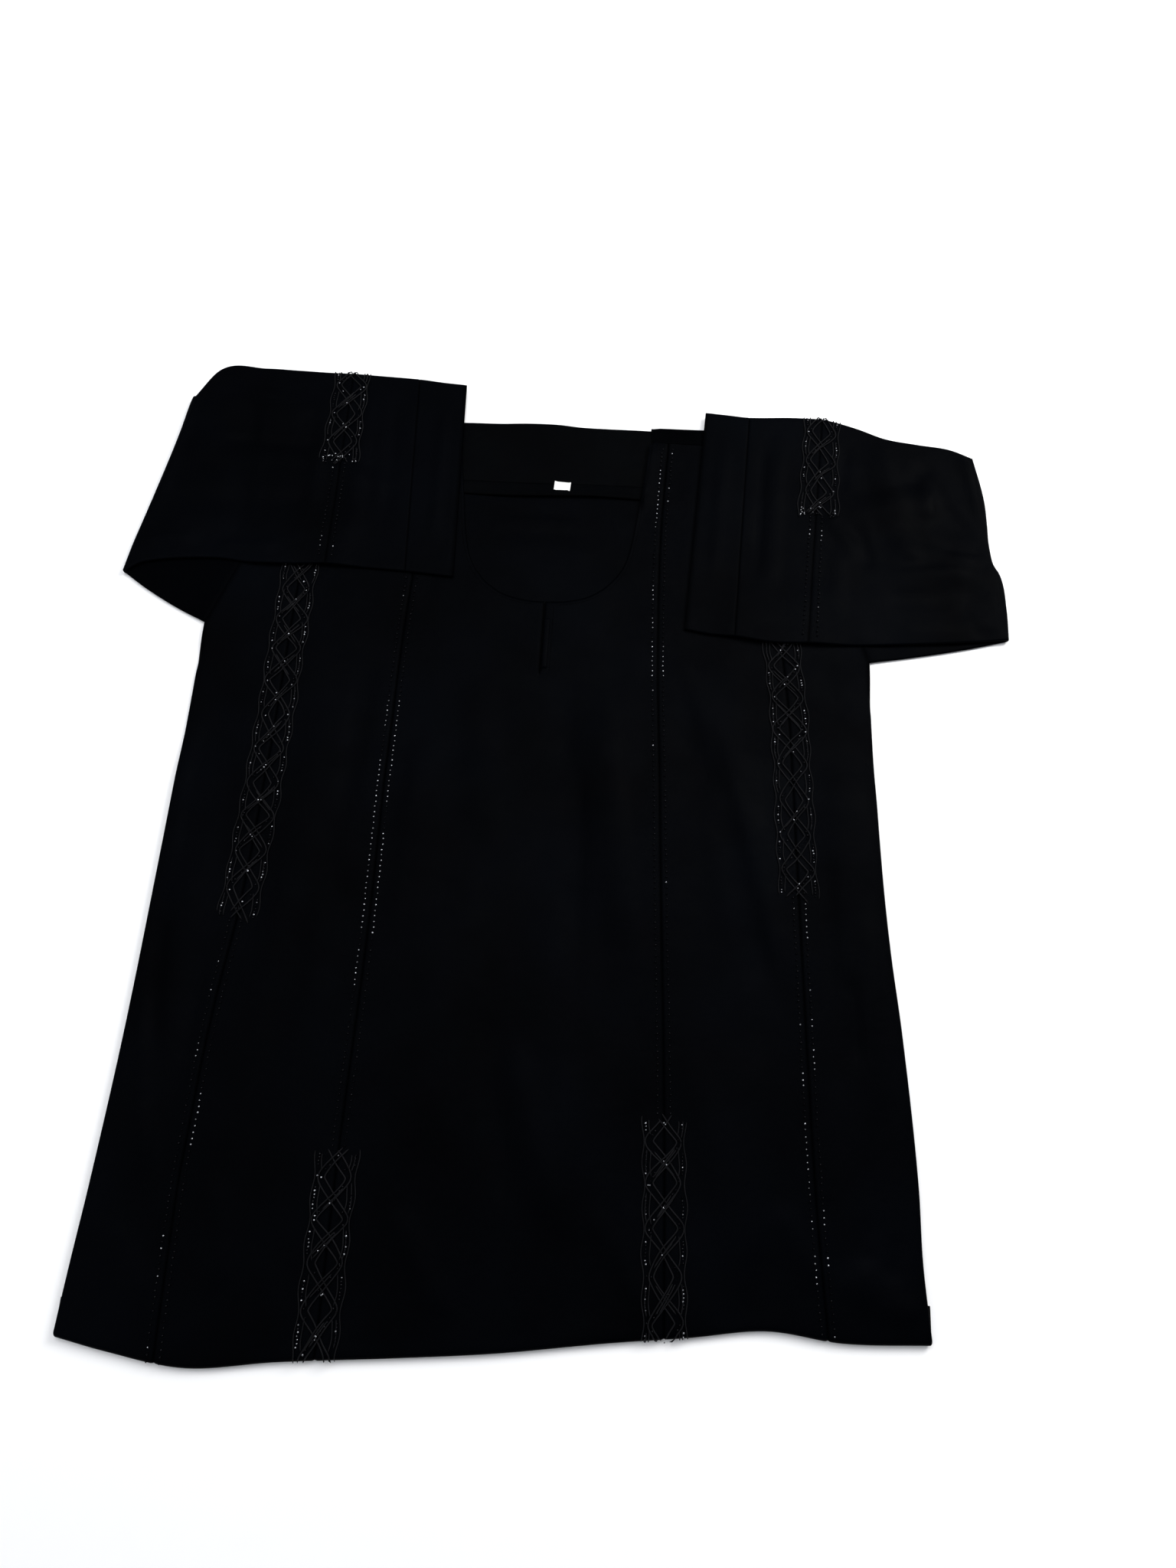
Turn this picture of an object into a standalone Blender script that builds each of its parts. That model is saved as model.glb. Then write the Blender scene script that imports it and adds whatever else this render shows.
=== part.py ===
"""Long cloak laid flat, with both sleeves folded in over the chest and its lower length turned under.

X runs across the cloak, Y up towards the neck and Z away from the surface that it lies on. The tables
hold millimetres from the middle of the bottom fold. The origin is the middle of the box, on the surface.
"""
import math

import bmesh
import bpy
from mathutils import Vector
from mathutils.bvhtree import BVHTree

# Driving dimensions in millimetres
WALL = 1.2
SEAM = 0.3
NECK_TOP = 908.0
SHOULDER_SEAM = 888.0
NECK_HALF = 101.0
NECK_SPREAD = 0.12
FACING_LOW = 817.0
FACING_WALL = 1.0
BODY_HEIGHT = 4.0
TURNED_HEIGHT = 3.6
TURNED_TOP_Y = 466.0
STEP_START, STEP_END = 478.0, 540.0
UNDER_FLAP = 26.0
SIDE_TURN = 2.0
BACK_INSET = 3.0
BACK_EASE = 60.0
SLIT_HALF = 0.6
SLIT_LOW = 613.0
SLEEVE_HEIGHT = 3.0
SLEEVE_LIFT = 4.3
BRAID_HALF = 20.0
BRAID_CORD = 11.0
BRAID_WALL = 1.5
BRAID_PITCH = 38.0
BRAID_GAP = 0.4
BRAID_TAIL = 6.0
BINDING_WIDTH = 6.0

# Across the cloak at each height: y, x
LEFT_SIDE = ((-5, -359), (50, -356), (112, -352), (241, -346), (383, -343), (540, -341), (652, -341))
RIGHT_SIDE = ((24, 359), (86, 354), (147, 353), (276, 344), (345, 337), (417, 332), (571, 327), (640, 327))
LEFT_ARMHOLE = ((652, -341), (905, -251))
RIGHT_ARMHOLE = ((640, 327), (905, 246))
LEFT_INNER_SEAM = ((-12, -143), (145, -143), (335, -140), (548, -141), (698, -138), (888, -122))
RIGHT_INNER_SEAM = ((17, 140), (193, 135), (421, 125), (521, 121), (644, 116), (777, 115), (888, 120))
LEFT_OUTER_SEAM = ((-22, -273), (58, -275), (122, -276), (176, -274), (228, -272), (284, -268), (352, -261),
                   (455, -256), (625, -254), (718, -252), (888, -236))
RIGHT_OUTER_SEAM = ((23, 274), (94, 268), (174, 263), (239, 260), (332, 256), (402, 253), (481, 250),
                    (567, 247), (649, 240), (888, 224))
# Along the bottom fold: x, y
BOTTOM_FOLD = ((-359, -5), (-314, -14), (-249, -23), (-175, -15), (-76, -7), (0, 0),
               (98, 13), (161, 20), (224, 28), (286, 22), (359, 24))
# Front neckline from the slit out: x at the neck, y at the neck, share of the width at the fold
NECKLINE = ((SLIT_HALF, 692, 0.0), (20, 693, 0.1), (40, 698, 0.2), (54, 706, 0.3), (66, 717, 0.4),
            (79, 737, 0.5), (87, 768, 0.6), (93, 817, 0.7), (98, 860, 0.8), (100, SHOULDER_SEAM, 0.9))
# Soft folds of the front: upper x, upper y, lower x, lower y, half width, height
SOFT_FOLDS = ((60, 600, 86, 330, 45, 2.0), (160, 600, 216, 320, 38, 2.4), (30, 390, 52, 100, 42, 2.0),
              (-62, 430, -76, 120, 45, 1.6), (-203, 600, -216, 300, 38, 1.8), (-305, 430, -316, 90, 32, 1.8),
              (205, 270, 222, 70, 38, 1.8), (296, 560, 304, 230, 32, 2.4))
# Share of the height of the front at each row of points, from the bottom fold to the shoulder
FRONT_ROWS = (0, 0.07, 0.14, 0.21, 0.28, 0.35, 0.42, 0.49, 0.55, 0.60, 0.66, 0.725, 0.80, 0.886, 0.945, 1)
FOLD_ANGLES = (135, 90, 45)
# Sleeve sections: x low, y low, x top, y top, before the fold and after it
LEFT_UNDER = ((-341, 652, -251, 905), (-372, 667, -292, 918), (-408, 688, -350, 930))
LEFT_FOLD = (-431, 704, -393, 922)
LEFT_OVER = ((-412, 716, -371, 958), (-341, 724, -320, 962), (-300, 720, -285, 961), (-262, 720, -252, 960),
             (-227, 722, -226, 960))
LEFT_CUFF = ((-227, 722, -226, 960), (-186, 720, -190, 958), (-145, 718, -153, 956), (-120, 716, -126, 953),
             (-95, 714, -101, 951))
RIGHT_UNDER = ((327, 640, 246, 905), (370, 648, 300, 893), (425, 660, 390, 886))
RIGHT_FOLD = (463, 670, 441, 884)
RIGHT_OVER = ((446, 668, 420, 893), (410, 664, 386, 898), (360, 660, 350, 904), (321, 657, 322, 915),
              (290, 656, 300, 922), (265, 656, 284, 926))
RIGHT_CUFF = ((265, 656, 284, 926), (230, 655, 250, 926), (192, 660, 206, 924), (166, 662, 182, 926),
              (142, 666, 159, 928))
# Soft folds of the sleeves: the same columns as the front's
SLEEVE_FOLDS = ((430, 840, 300, 800, 30, 2.5), (440, 742, 350, 760, 22, 3.0), (-400, 860, -300, 830, 34, 1.6),
                (-405, 760, -320, 770, 26, 1.6))
# Outer braids run from under the sleeve down to the hip, lower braids over the bottom fold: y top, y end
LEFT_OUTER_BRAID = (748, 351)
RIGHT_OUTER_BRAID = (684, 397)
LEFT_LOWER_BRAID = 148
RIGHT_LOWER_BRAID = 190
LEFT_SLEEVE_BRAID = 112.0
RIGHT_SLEEVE_BRAID = 118.0
# Size label on the facing: x, y, half width, half height, turn in degrees
LABEL = (10.0, 829.0, 8.5, 5.0, -4.0)

CLOTH = ("near_black_crepe", (0.012, 0.013, 0.018), 0.75)
FACING = ("near_black_facing", (0.014, 0.015, 0.019), 0.7)
CORD = ("black_cord_braid", (0.03, 0.03, 0.035), 0.5)
WHITE = ("white_woven_label", (0.8, 0.8, 0.78), 0.8)


def smooth_step(value):
    """Rise from 0 to 1 with level ends."""
    value = min(1.0, max(0.0, value))
    return value * value * (3 - 2 * value)


def read_table(table, at):
    """Value at one place on the smooth curve through rows of (place, value)."""
    rows = sorted(table)
    if at <= rows[0][0]:
        return float(rows[0][1])
    if at >= rows[-1][0]:
        return float(rows[-1][1])
    k = next(i for i in range(len(rows) - 1) if at <= rows[i + 1][0])
    (a, va), (b, vb) = rows[k], rows[k + 1]
    span = b - a
    slope = (vb - va) / span
    before = (va - rows[k - 1][1]) / (a - rows[k - 1][0]) if k else slope
    after = (rows[k + 2][1] - vb) / (rows[k + 2][0] - b) if k + 2 < len(rows) else slope
    start, end = (before + slope) / 2, (slope + after) / 2
    t = (at - a) / span
    return (va * (1 + 2 * t) * (1 - t) ** 2 + vb * t * t * (3 - 2 * t)
            + span * t * (1 - t) * (start * (1 - t) - end * t))


def soft_folds(table, x, y):
    """Height that a table of soft folds adds at one point."""
    total = 0.0
    for x1, y1, x2, y2, half_width, height in table:
        along = Vector((x2 - x1, y2 - y1))
        place = Vector((x - x1, y - y1))
        share = place.dot(along) / along.length_squared
        off = abs(place.x * along.y - place.y * along.x) / along.length
        if 0 < share < 1 and off < half_width:
            total += height * math.cos(off / half_width * math.pi / 2) ** 2 * smooth_step(4 * share) \
                * smooth_step(4 * (1 - share))
    return total


def base_height(y):
    """Top of the layers that are turned under, which end below the chest."""
    return (TURNED_HEIGHT + SEAM) * (1 - smooth_step((y - STEP_START) / (STEP_END - STEP_START)))


def front_top(x, y):
    """Height of the front's upper face."""
    return base_height(y) + BODY_HEIGHT + soft_folds(SOFT_FOLDS, x, y)


FOLD_TURN = front_top(0, 0) / 2


class Side:
    """Tables and signs of the cloak's left or right half, as seen."""

    def __init__(self, sign, side, armhole, inner, outer, fold, under, over, cuff):
        self.sign = sign
        self.side = side
        self.armhole = armhole
        self.inner = inner
        self.outer = outer
        self.fold = fold
        self.under = under
        self.over = over
        self.cuff = cuff
        self.armpit = side[-1][0]

    def edge(self, y):
        """Side edge below the armpit and armhole above it."""
        if y <= self.armpit:
            return read_table(self.side, y)
        (y1, x1), (y2, x2) = self.armhole
        return x1 + (x2 - x1) * (y - y1) / (y2 - y1)

    def side_turn(self, y):
        """Share of the side edge's turn, none at the armhole."""
        return smooth_step((self.armpit - 12 - y) / 50)


LEFT = Side(-1, LEFT_SIDE, LEFT_ARMHOLE, LEFT_INNER_SEAM, LEFT_OUTER_SEAM,
            LEFT_FOLD, LEFT_UNDER, LEFT_OVER, LEFT_CUFF)
RIGHT = Side(1, RIGHT_SIDE, RIGHT_ARMHOLE, RIGHT_INNER_SEAM, RIGHT_OUTER_SEAM,
             RIGHT_FOLD, RIGHT_UNDER, RIGHT_OVER, RIGHT_CUFF)


def material(finish):
    """Principled material of one finish, with one name for each object."""
    name, colour, roughness = finish
    made = bpy.data.materials.new(name)
    made.use_nodes = True
    shader = made.node_tree.nodes["Principled BSDF"]
    shader.inputs["Base Color"].default_value = (*colour, 1)
    shader.inputs["Roughness"].default_value = roughness
    shader.inputs["Metallic"].default_value = 0.0
    return made


def add_object(name, points, faces, finish):
    """Object of one closed body, from points in millimetres."""
    mesh = bpy.data.meshes.new(name)
    mesh.from_pydata([Vector(p) / 1000 for p in points], [], faces)
    shell = bmesh.new()
    shell.from_mesh(mesh)
    bmesh.ops.recalc_face_normals(shell, faces=shell.faces)
    shell.to_mesh(mesh)
    shell.free()
    mesh.materials.append(material(finish))
    mesh.shade_smooth()
    mesh.set_sharp_from_angle(angle=math.radians(40))
    made = bpy.data.objects.new(name, mesh)
    bpy.context.collection.objects.link(made)
    return made


def add_wall(name, outer, inner, finish, keep=None):
    """Closed wall between two grids of points, of the cells that are kept."""
    rows, columns = len(outer), len(outer[0])
    kept = {(i, j) for i in range(rows - 1) for j in range(columns - 1) if keep is None or keep(i, j)}
    points, index = [], {}

    def number(layer, i, j):
        """Number of one point, which is added when a kept cell first needs it."""
        key = (layer, i, j)
        if key not in index:
            index[key] = len(points)
            points.append((outer, inner)[layer][i][j])
        return index[key]

    faces = []
    for i, j in sorted(kept):
        loop = [(i, j), (i, j + 1), (i + 1, j + 1), (i + 1, j)]
        faces.append([number(0, *p) for p in loop])
        faces.append([number(1, *p) for p in reversed(loop)])
        neighbours = [(i - 1, j), (i, j + 1), (i + 1, j), (i, j - 1)]
        for k, neighbour in enumerate(neighbours):
            if neighbour not in kept:
                a, b = loop[k], loop[(k + 1) % 4]
                faces.append([number(0, *b), number(0, *a), number(1, *a), number(1, *b)])
    return add_object(name, points, faces, finish)


def add_tube(name, outer, inner, finish):
    """Closed wall of a tube that is open at both ends, from outer and inner rings."""
    count, size = len(outer), len(outer[0])
    points = [p for ring in outer for p in ring] + [p for ring in inner for p in ring]
    shift = count * size
    faces = []
    for k in range(count - 1):
        for j in range(size):
            a, b = k * size + j, k * size + (j + 1) % size
            c, d = b + size, a + size
            faces.append([a, b, c, d])
            faces.append([shift + d, shift + c, shift + b, shift + a])
    for j in range(size):
        a, b = j, (j + 1) % size
        faces.append([b, a, shift + a, shift + b])
        a, b = a + shift - size, b + shift - size
        faces.append([a, b, shift + b, shift + a])
    return add_object(name, points, faces, finish)


def front_rows():
    """Rows of the front from the flap under the fold, round it and up to the shoulder."""
    rows = [("flap", UNDER_FLAP), ("flap", 0.0)]
    rows += [("turn", angle) for angle in FOLD_ANGLES]
    return rows + [("flat", share) for share in FRONT_ROWS]


def row_height(x, row, top):
    """Distance up the cloak of one row at x, for a column that ends at top."""
    start = read_table(BOTTOM_FOLD, x) + FOLD_TURN
    return start + (top - start) * (row[1] if row[0] == "flat" else 0.0)


def seam_x(table, row, top=SHOULDER_SEAM):
    """Where a seam crosses one row."""
    low = read_table(table, min(y for y, _ in table))
    return read_table(table, row_height(low, row, top))


def front_point(x, row, depth, top=SHOULDER_SEAM):
    """Point of the front at a depth below its upper face."""
    fold = read_table(BOTTOM_FOLD, x)
    if row[0] == "flat":
        y = row_height(x, row, top)
        return Vector((x, y, front_top(x, y) - depth))
    if row[0] == "turn":
        angle = math.radians(row[1])
        reach = FOLD_TURN - depth
        return Vector((x, fold + FOLD_TURN - reach * math.sin(angle), FOLD_TURN + reach * math.cos(angle)))
    return Vector((x, fold + FOLD_TURN + row[1], depth))


def centre_columns():
    """Columns of the centre front from left to right: side, x at the neck, y at the neck, share at the fold."""
    right = [(1, *column) for column in NECKLINE] + [(1, None, SHOULDER_SEAM, 1.0)]
    left = [(-1, *column[1:]) for column in reversed(right)]
    return left + right


def centre_front():
    """Centre front panel with the scooped neck and the slit below it."""
    rows, columns = front_rows(), centre_columns()
    grids = ([], [])
    for row in rows:
        share = row[1] if row[0] == "flat" else 0.0
        for grid, depth in zip(grids, (0.0, WALL)):
            line = []
            for sign, neck_x, neck_y, fold_share in columns:
                side = LEFT if sign < 0 else RIGHT
                seam = abs(seam_x(side.inner, row)) - SEAM / 2
                top = abs(seam_x(side.inner, ("flat", 1.0))) - SEAM / 2
                weight = 1.0 if neck_x is None else (1 - share) * fold_share + share * neck_x / top
                x = sign * (SLIT_HALF if neck_x == SLIT_HALF else seam * weight)
                line.append(front_point(x, row, depth, neck_y))
            grid.append(line)
    middle = len(columns) // 2 - 1

    def keep(i, j):
        """Leave the slit open above its lower end."""
        return j != middle or grids[0][i + 1][middle].y <= SLIT_LOW + 2

    return add_wall("centre_front", *grids, CLOTH, keep)


def side_front(name, side):
    """Panel between the inner and the outer seam of one side."""
    steps = 6
    grids = ([], [])
    for row in front_rows():
        inner = seam_x(side.inner, row) + side.sign * SEAM / 2
        outer = seam_x(side.outer, row) - side.sign * SEAM / 2
        for grid, depth in zip(grids, (0.0, WALL)):
            grid.append([front_point(inner + (outer - inner) * k / steps, row, depth) for k in range(steps + 1)])
    return add_wall(name, *grids, CLOTH)


def turn_profile(share, drop, depth):
    """Distances out and down of the side edge's turn, at a depth inside the wall."""
    places = []
    reach = SIDE_TURN * math.pi / 2
    for step in range(4):
        along = reach * step / 3
        if share < 0.01:
            places.append((along, depth))
            continue
        bend = share / SIDE_TURN
        angle = along * bend
        places.append((math.sin(angle) / bend - depth * math.sin(angle),
                       (1 - math.cos(angle)) / bend + depth * math.cos(angle)))
    angle = share * math.pi / 2
    out, down = places[-1]
    places.append((out + drop * math.cos(angle), down + drop * math.sin(angle)))
    return places


def side_panel(name, side):
    """Side panel, turned down at the side edge to where the back's edge lies."""
    steps = 3
    grids = ([], [])
    for row in front_rows():
        height = row_height(read_table(side.side, side.side[0][0]), row, SHOULDER_SEAM)
        share = side.side_turn(height)
        seam = seam_x(side.outer, row) + side.sign * SEAM / 2
        drop = BODY_HEIGHT - SIDE_TURN
        reach = turn_profile(share, drop, 0.0)[-1][0]
        start = side.edge(height) - side.sign * (reach + SEAM / 2)
        for grid, depth in zip(grids, (0.0, WALL)):
            line = [front_point(seam + (start - seam) * k / steps, row, depth) for k in range(steps)]
            for out, down in turn_profile(share, drop, depth):
                line.append(front_point(start + side.sign * out, row, down))
            grid.append(line)
    return add_wall(name, *grids, CLOTH)


def back_panel():
    """Back panel, which lies under the front and turns over the shoulders to the front's seam."""
    turn = BODY_HEIGHT / 2
    left_neck, right_neck = (side.sign * NECK_HALF / abs(side.armhole[1][1]) for side in (LEFT, RIGHT))
    shares = (-1, -0.8, -0.6, left_neck, -0.2, 0, 0.2, right_neck, 0.6, 0.8, 1)
    heights = (60, 150, 240, 330, 400, STEP_START, 499, 519, STEP_END, 590, 640, 700, 780, 850)
    rows = [("start", 0.0)] + [("flat", y) for y in heights]
    rows += [("turn", angle) for angle in (0, 45, 90, 135, 180)] + [("end", SHOULDER_SEAM + SEAM)]
    grids = ([], [])
    for kind, value in rows:
        for grid, depth in zip(grids, (0.0, WALL)):
            line = []
            for share in shares:
                side = LEFT if share < 0 else RIGHT
                y = {"start": 0.0, "flat": value, "turn": NECK_TOP - turn, "end": value}[kind]
                inset = BACK_INSET * side.side_turn(y - BACK_EASE) + SEAM
                x = abs(share) * (side.edge(y) - side.sign * inset)
                if share in (left_neck, right_neck):
                    x = side.sign * (NECK_HALF + (NECK_TOP - y) * NECK_SPREAD)
                if kind == "start":
                    y = read_table(BOTTOM_FOLD, x) + WALL + SEAM + turn
                z = base_height(y) + depth
                if kind == "turn":
                    angle = math.radians(value)
                    y += (turn - depth) * math.sin(angle)
                    z = turn - (turn - depth) * math.cos(angle)
                if kind == "end":
                    z = BODY_HEIGHT - depth
                line.append(Vector((x, y, z)))
            grid.append(line)
    flat_count = len(heights) + 1

    def keep(i, j):
        """Stop at the neck between the shoulders."""
        return i < flat_count or not 3 <= j < 7

    return add_wall("back_panel", *grids, CLOTH, keep)


def turned_under_layers():
    """Front and back layers of the length turned under the cloak, as one rounded solid with layered edges."""
    # Level, inset at the sides and top, start behind the bottom fold
    levels = ((0.0, 0.7, 37.0), (0.5, 0.0, 36.0), (1.3, 0.0, 36.0), (1.55, 1.0, 36.5), (1.7, 1.0, 9.5),
              (2.2, 0.0, 7.5), (3.0, 0.0, 7.5), (TURNED_HEIGHT, 0.8, 8.5))
    across = (-1, -0.75, -0.5, -0.25, 0, 0.25, 0.5, 0.75, 1)
    heights = (70, 160, 250, 340, 420)
    points = []
    for z, inset, start in levels:
        right = [(RIGHT.edge(y) - 9 - inset, y) for y in heights]
        left = [(LEFT.edge(y) + 9 + inset, y) for y in reversed(heights)]
        wide = RIGHT.edge(0) - 14 - inset
        low = [(wide * s, read_table(BOTTOM_FOLD, wide * s) + start) for s in across]
        top = [((RIGHT.edge(TURNED_TOP_Y) - 22 - inset) * s, TURNED_TOP_Y - inset - 5 * abs(s) ** 3)
               for s in reversed(across)]
        points += [(x, y, z) for x, y in low + right + top + left]
    size = len(points) // len(levels)
    faces = [list(reversed(range(size))), [size * (len(levels) - 1) + k for k in range(size)]]
    for level in range(len(levels) - 1):
        for k in range(size):
            a, b = level * size + k, level * size + (k + 1) % size
            faces.append([a, b, b + size, a + size])
    return add_object("turned_under_layers", points, faces, CLOTH)


def back_neck_facing():
    """Facing inside the back of the neck."""
    width, low, high = NECK_HALF + 12, FACING_LOW, NECK_TOP - 3.0
    z = WALL + SEAM
    outer = [[Vector((width * s, y, z + FACING_WALL)) for s in (-1, -0.5, 0, 0.5, 1)] for y in (low, high)]
    inner = [[Vector((p.x, p.y, z)) for p in row] for row in outer]
    return add_wall("back_neck_facing", outer, inner, FACING)


def size_label():
    """Small woven size label on the facing."""
    x, y, half_width, half_height, turn = LABEL
    z = WALL + FACING_WALL + 2 * SEAM
    angle = math.radians(turn)
    outer = []
    for v in (-half_height, half_height):
        line = []
        for u in (-half_width, 0.0, half_width):
            line.append(Vector((x + u * math.cos(angle) - v * math.sin(angle),
                                y + u * math.sin(angle) + v * math.cos(angle), z + FACING_WALL)))
        outer.append(line)
    inner = [[Vector((p.x, p.y, z)) for p in row] for row in outer]
    return add_wall("size_label", outer, inner, WHITE)


def slit_binding():
    """Narrow binding on the right edge of the slit."""
    z = BODY_HEIGHT + SEAM
    outer = [[Vector((x, y, z + FACING_WALL)) for x in (SLIT_HALF, SLIT_HALF + BINDING_WIDTH)]
             for y in (SLIT_LOW + 4, SLIT_LOW + 32, SLIT_LOW + 60)]
    inner = [[Vector((p.x, p.y, z)) for p in row] for row in outer]
    return add_wall("slit_binding", outer, inner, FACING)


def sleeve_lift(x, y):
    """Height of the folded part of a sleeve over the surface, more where it lies on a braid."""
    lift = SLEEVE_LIFT
    for side, braid in ((LEFT, LEFT_OUTER_BRAID), (RIGHT, RIGHT_OUTER_BRAID)):
        near = 1 - smooth_step((abs(x - read_table(side.outer, y)) - BRAID_HALF - 14) / 34)
        low = 1 - smooth_step((y - braid[0] - 12) / 40)
        lift += (BRAID_WALL + 2 * BRAID_GAP) * near * low
    return lift


def ring_places(width, height, offset):
    """Places round a flattened tube's section: distance from its low edge and level from its middle."""
    half = height / 2
    spans = 8
    level = half + offset
    start, end = half, width - half
    places = [(start + (end - start) * k / spans, -level) for k in range(spans + 1)]
    places += [(end + level * math.sin(math.radians(a)), -level * math.cos(math.radians(a))) for a in (45, 90, 135)]
    places += [(end + (start - end) * k / spans, level) for k in range(spans + 1)]
    places += [(start - level * math.sin(math.radians(a)), level * math.cos(math.radians(a)))
               for a in (45, 90, 135)]
    return places


def section_ring(section, stage, height, offset):
    """Ring of points of one sleeve section: under the fold, at an angle of it or over it."""
    low, top = Vector(section[:2]), Vector(section[2:])
    width = (top - low).length
    along = (top - low) / width
    outward = Vector((-along.y, along.x)) if low.x < 0 else Vector((along.y, -along.x))
    total = SLEEVE_LIFT + SLEEVE_HEIGHT
    middle = total / 2
    reach = middle - SLEEVE_HEIGHT / 2
    ring = []
    for distance, level in ring_places(width, height, offset):
        place = low + along * distance
        if stage == "under":
            z = height / 2 + level
        elif stage == "over":
            lift = sleeve_lift(place.x, place.y)
            z = lift + height / 2 + level
            if level > 0:
                z += soft_folds(SLEEVE_FOLDS, place.x, place.y)
        else:
            angle = math.radians(stage)
            place = place + outward * (reach - level) * math.sin(angle)
            z = middle - (reach - level) * math.cos(angle)
        ring.append(Vector((place.x, place.y, z)))
    return ring


def flip_level(ring):
    """The same ring with its lower and its upper half swapped, as the fold turns the tube over."""
    half = len(ring) // 2
    count = half - 3
    lower, top_turn = ring[:count], ring[count:half]
    upper, low_turn = ring[half:half + count], ring[half + count:]
    return list(reversed(upper)) + list(reversed(top_turn)) + list(reversed(lower)) + list(reversed(low_turn))


def sleeve(name, side):
    """Sleeve from the armhole, out, round its fold and back over the chest to the cuff's seam."""
    rings = ([], [])
    armhole = side.under[0]
    first = (armhole[0] + side.sign * SEAM, armhole[1], armhole[2] + side.sign * SEAM, armhole[3])
    for wall_rings, offset in zip(rings, (0.0, -WALL)):
        wall_rings.append(section_ring(first, "under", BODY_HEIGHT, offset))
        for section in side.under[1:]:
            wall_rings.append(section_ring(section, "under", SLEEVE_HEIGHT, offset))
        for angle in (0, 45, 90, 135, 180):
            wall_rings.append(section_ring(side.fold, angle, SLEEVE_HEIGHT, offset))
        for section in side.over:
            wall_rings.append(flip_level(section_ring(section, "over", SLEEVE_HEIGHT, offset)))
    return add_tube(name, *rings, CLOTH)


def cuff(name, side):
    """Cuff band from its seam to the open end of the sleeve."""
    rings = ([], [])
    seam = side.cuff[0]
    shift = -side.sign * SEAM
    first = (seam[0] + shift, seam[1], seam[2] + shift, seam[3])
    for wall_rings, offset in zip(rings, (0.0, -WALL)):
        for section in (first, *side.cuff[1:]):
            wall_rings.append(flip_level(section_ring(section, "over", SLEEVE_HEIGHT, offset)))
    return add_tube(name, *rings, CLOTH)


def surface_height(objects):
    """Function that gives the upper height of some objects at a point, in millimetres."""
    trees = [BVHTree.FromObject(made, bpy.context.evaluated_depsgraph_get()) for made in objects]

    def height(x, y):
        """Highest hit of a ray from above, or nothing beside them."""
        hits = [tree.ray_cast(Vector((x, y, 100)) / 1000, Vector((0, 0, -1)))[0] for tree in trees]
        levels = [hit.z * 1000 for hit in hits if hit is not None]
        return max(levels) if levels else None

    return height


def plait_places(length, steps):
    """Rows of the plait: distance along it, reach of its outer edge, reach of the hole inside it."""
    rows = []
    count = round(length / BRAID_PITCH * steps)
    for k in range(count + 1):
        along = length * k / count
        swing = abs(math.sin(math.pi * along / BRAID_PITCH))
        centre = (BRAID_HALF - BRAID_CORD / 2) * swing
        reach = centre + BRAID_CORD / 2
        hole = max(1.0, centre - BRAID_CORD / 2)
        rows.append((along, max(reach, BRAID_HALF * 0.62), hole))
    return rows


def add_braid(name, rows, place):
    """Plaited braid with a hole between each two crossings, from rows of reach and a function of place."""
    grids = ([], [])
    for along, reach, hole in rows:
        for grid, level in zip(grids, (BRAID_GAP + BRAID_WALL, BRAID_GAP)):
            grid.append([place(along, off, level) for off in (-reach, -hole, hole, reach)])

    def keep(i, j):
        """Leave the hole open where both rows have one."""
        return j != 1 or min(rows[i][2], rows[i + 1][2]) < 1.5

    return add_wall(name, *grids, CORD, keep)


def front_braid(name, seam, top, end, height):
    """Braid over a seam of the front, from its upper end to its lower end."""

    def place(along, off, level):
        """Point above the front at a distance below the braid's upper end."""
        y = top - along
        x = read_table(seam, y) + off
        return Vector((x, y, height(x, y) + level))

    return add_braid(name, plait_places(top - end, 6), place)


def lower_braid(name, seam, top, height):
    """Braid over a seam of the front that runs on over the bottom fold."""
    middle = read_table(BOTTOM_FOLD, read_table(seam, 0))
    flat = top - middle - FOLD_TURN
    rows = plait_places(flat, 6)
    reach, hole = rows[-1][1:]
    rows += [(flat + step, reach, hole) for step in (1.0, 2.0)]

    def place(along, off, level):
        """Point above the front, or round the bottom fold past the flat length."""
        x = read_table(seam, top - along) + off
        fold = read_table(BOTTOM_FOLD, x)
        if along > flat:
            angle = math.radians(45 * (along - flat))
            out = FOLD_TURN + level
            return Vector((x, fold + FOLD_TURN - out * math.sin(angle), FOLD_TURN + out * math.cos(angle)))
        y = top + (fold + FOLD_TURN - top) * along / flat
        return Vector((x, y, height(x, y) + level))

    return add_braid(name, rows, place)


def sleeve_braid(name, side, length, height):
    """Braid over the cuff's seam, from the visible side round the sleeve's upper edge."""
    seam, cuff_next, sleeve_next = side.cuff[0], side.cuff[1], side.over[-2]
    rows = plait_places(length, 6)
    reach, hole = rows[0][1:]
    rows = [(-step, reach, hole) for step in (5.0, 4.0, 3.0, 2.0, 1.0)] + rows
    half = SLEEVE_HEIGHT / 2

    def place(along, off, level):
        """Point above the sleeve, or round its upper edge before the flat length."""
        towards_cuff = off * -side.sign > 0
        neighbour = cuff_next if towards_cuff else sleeve_next
        share = abs(off) / max(1.0, abs(neighbour[2] - seam[2]))
        top = Vector(seam[2:]).lerp(Vector(neighbour[2:]), share)
        low = Vector(seam[:2]).lerp(Vector(neighbour[:2]), share)
        down = (low - top).normalized()
        if along >= 0:
            at = top + down * (half + along)
            x, y = at.x, at.y
            return Vector((x, y, height(x, y) + level))
        angle = math.radians(45 * min(4.0, -along))
        tail = max(0.0, -along - 4) * BRAID_TAIL
        out = half + level
        at = top + down * (half + tail) - down * out * math.sin(angle)
        return Vector((at.x, at.y, sleeve_lift(at.x, at.y) + half + out * math.cos(angle)))

    return add_braid(name, rows, place)


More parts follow.
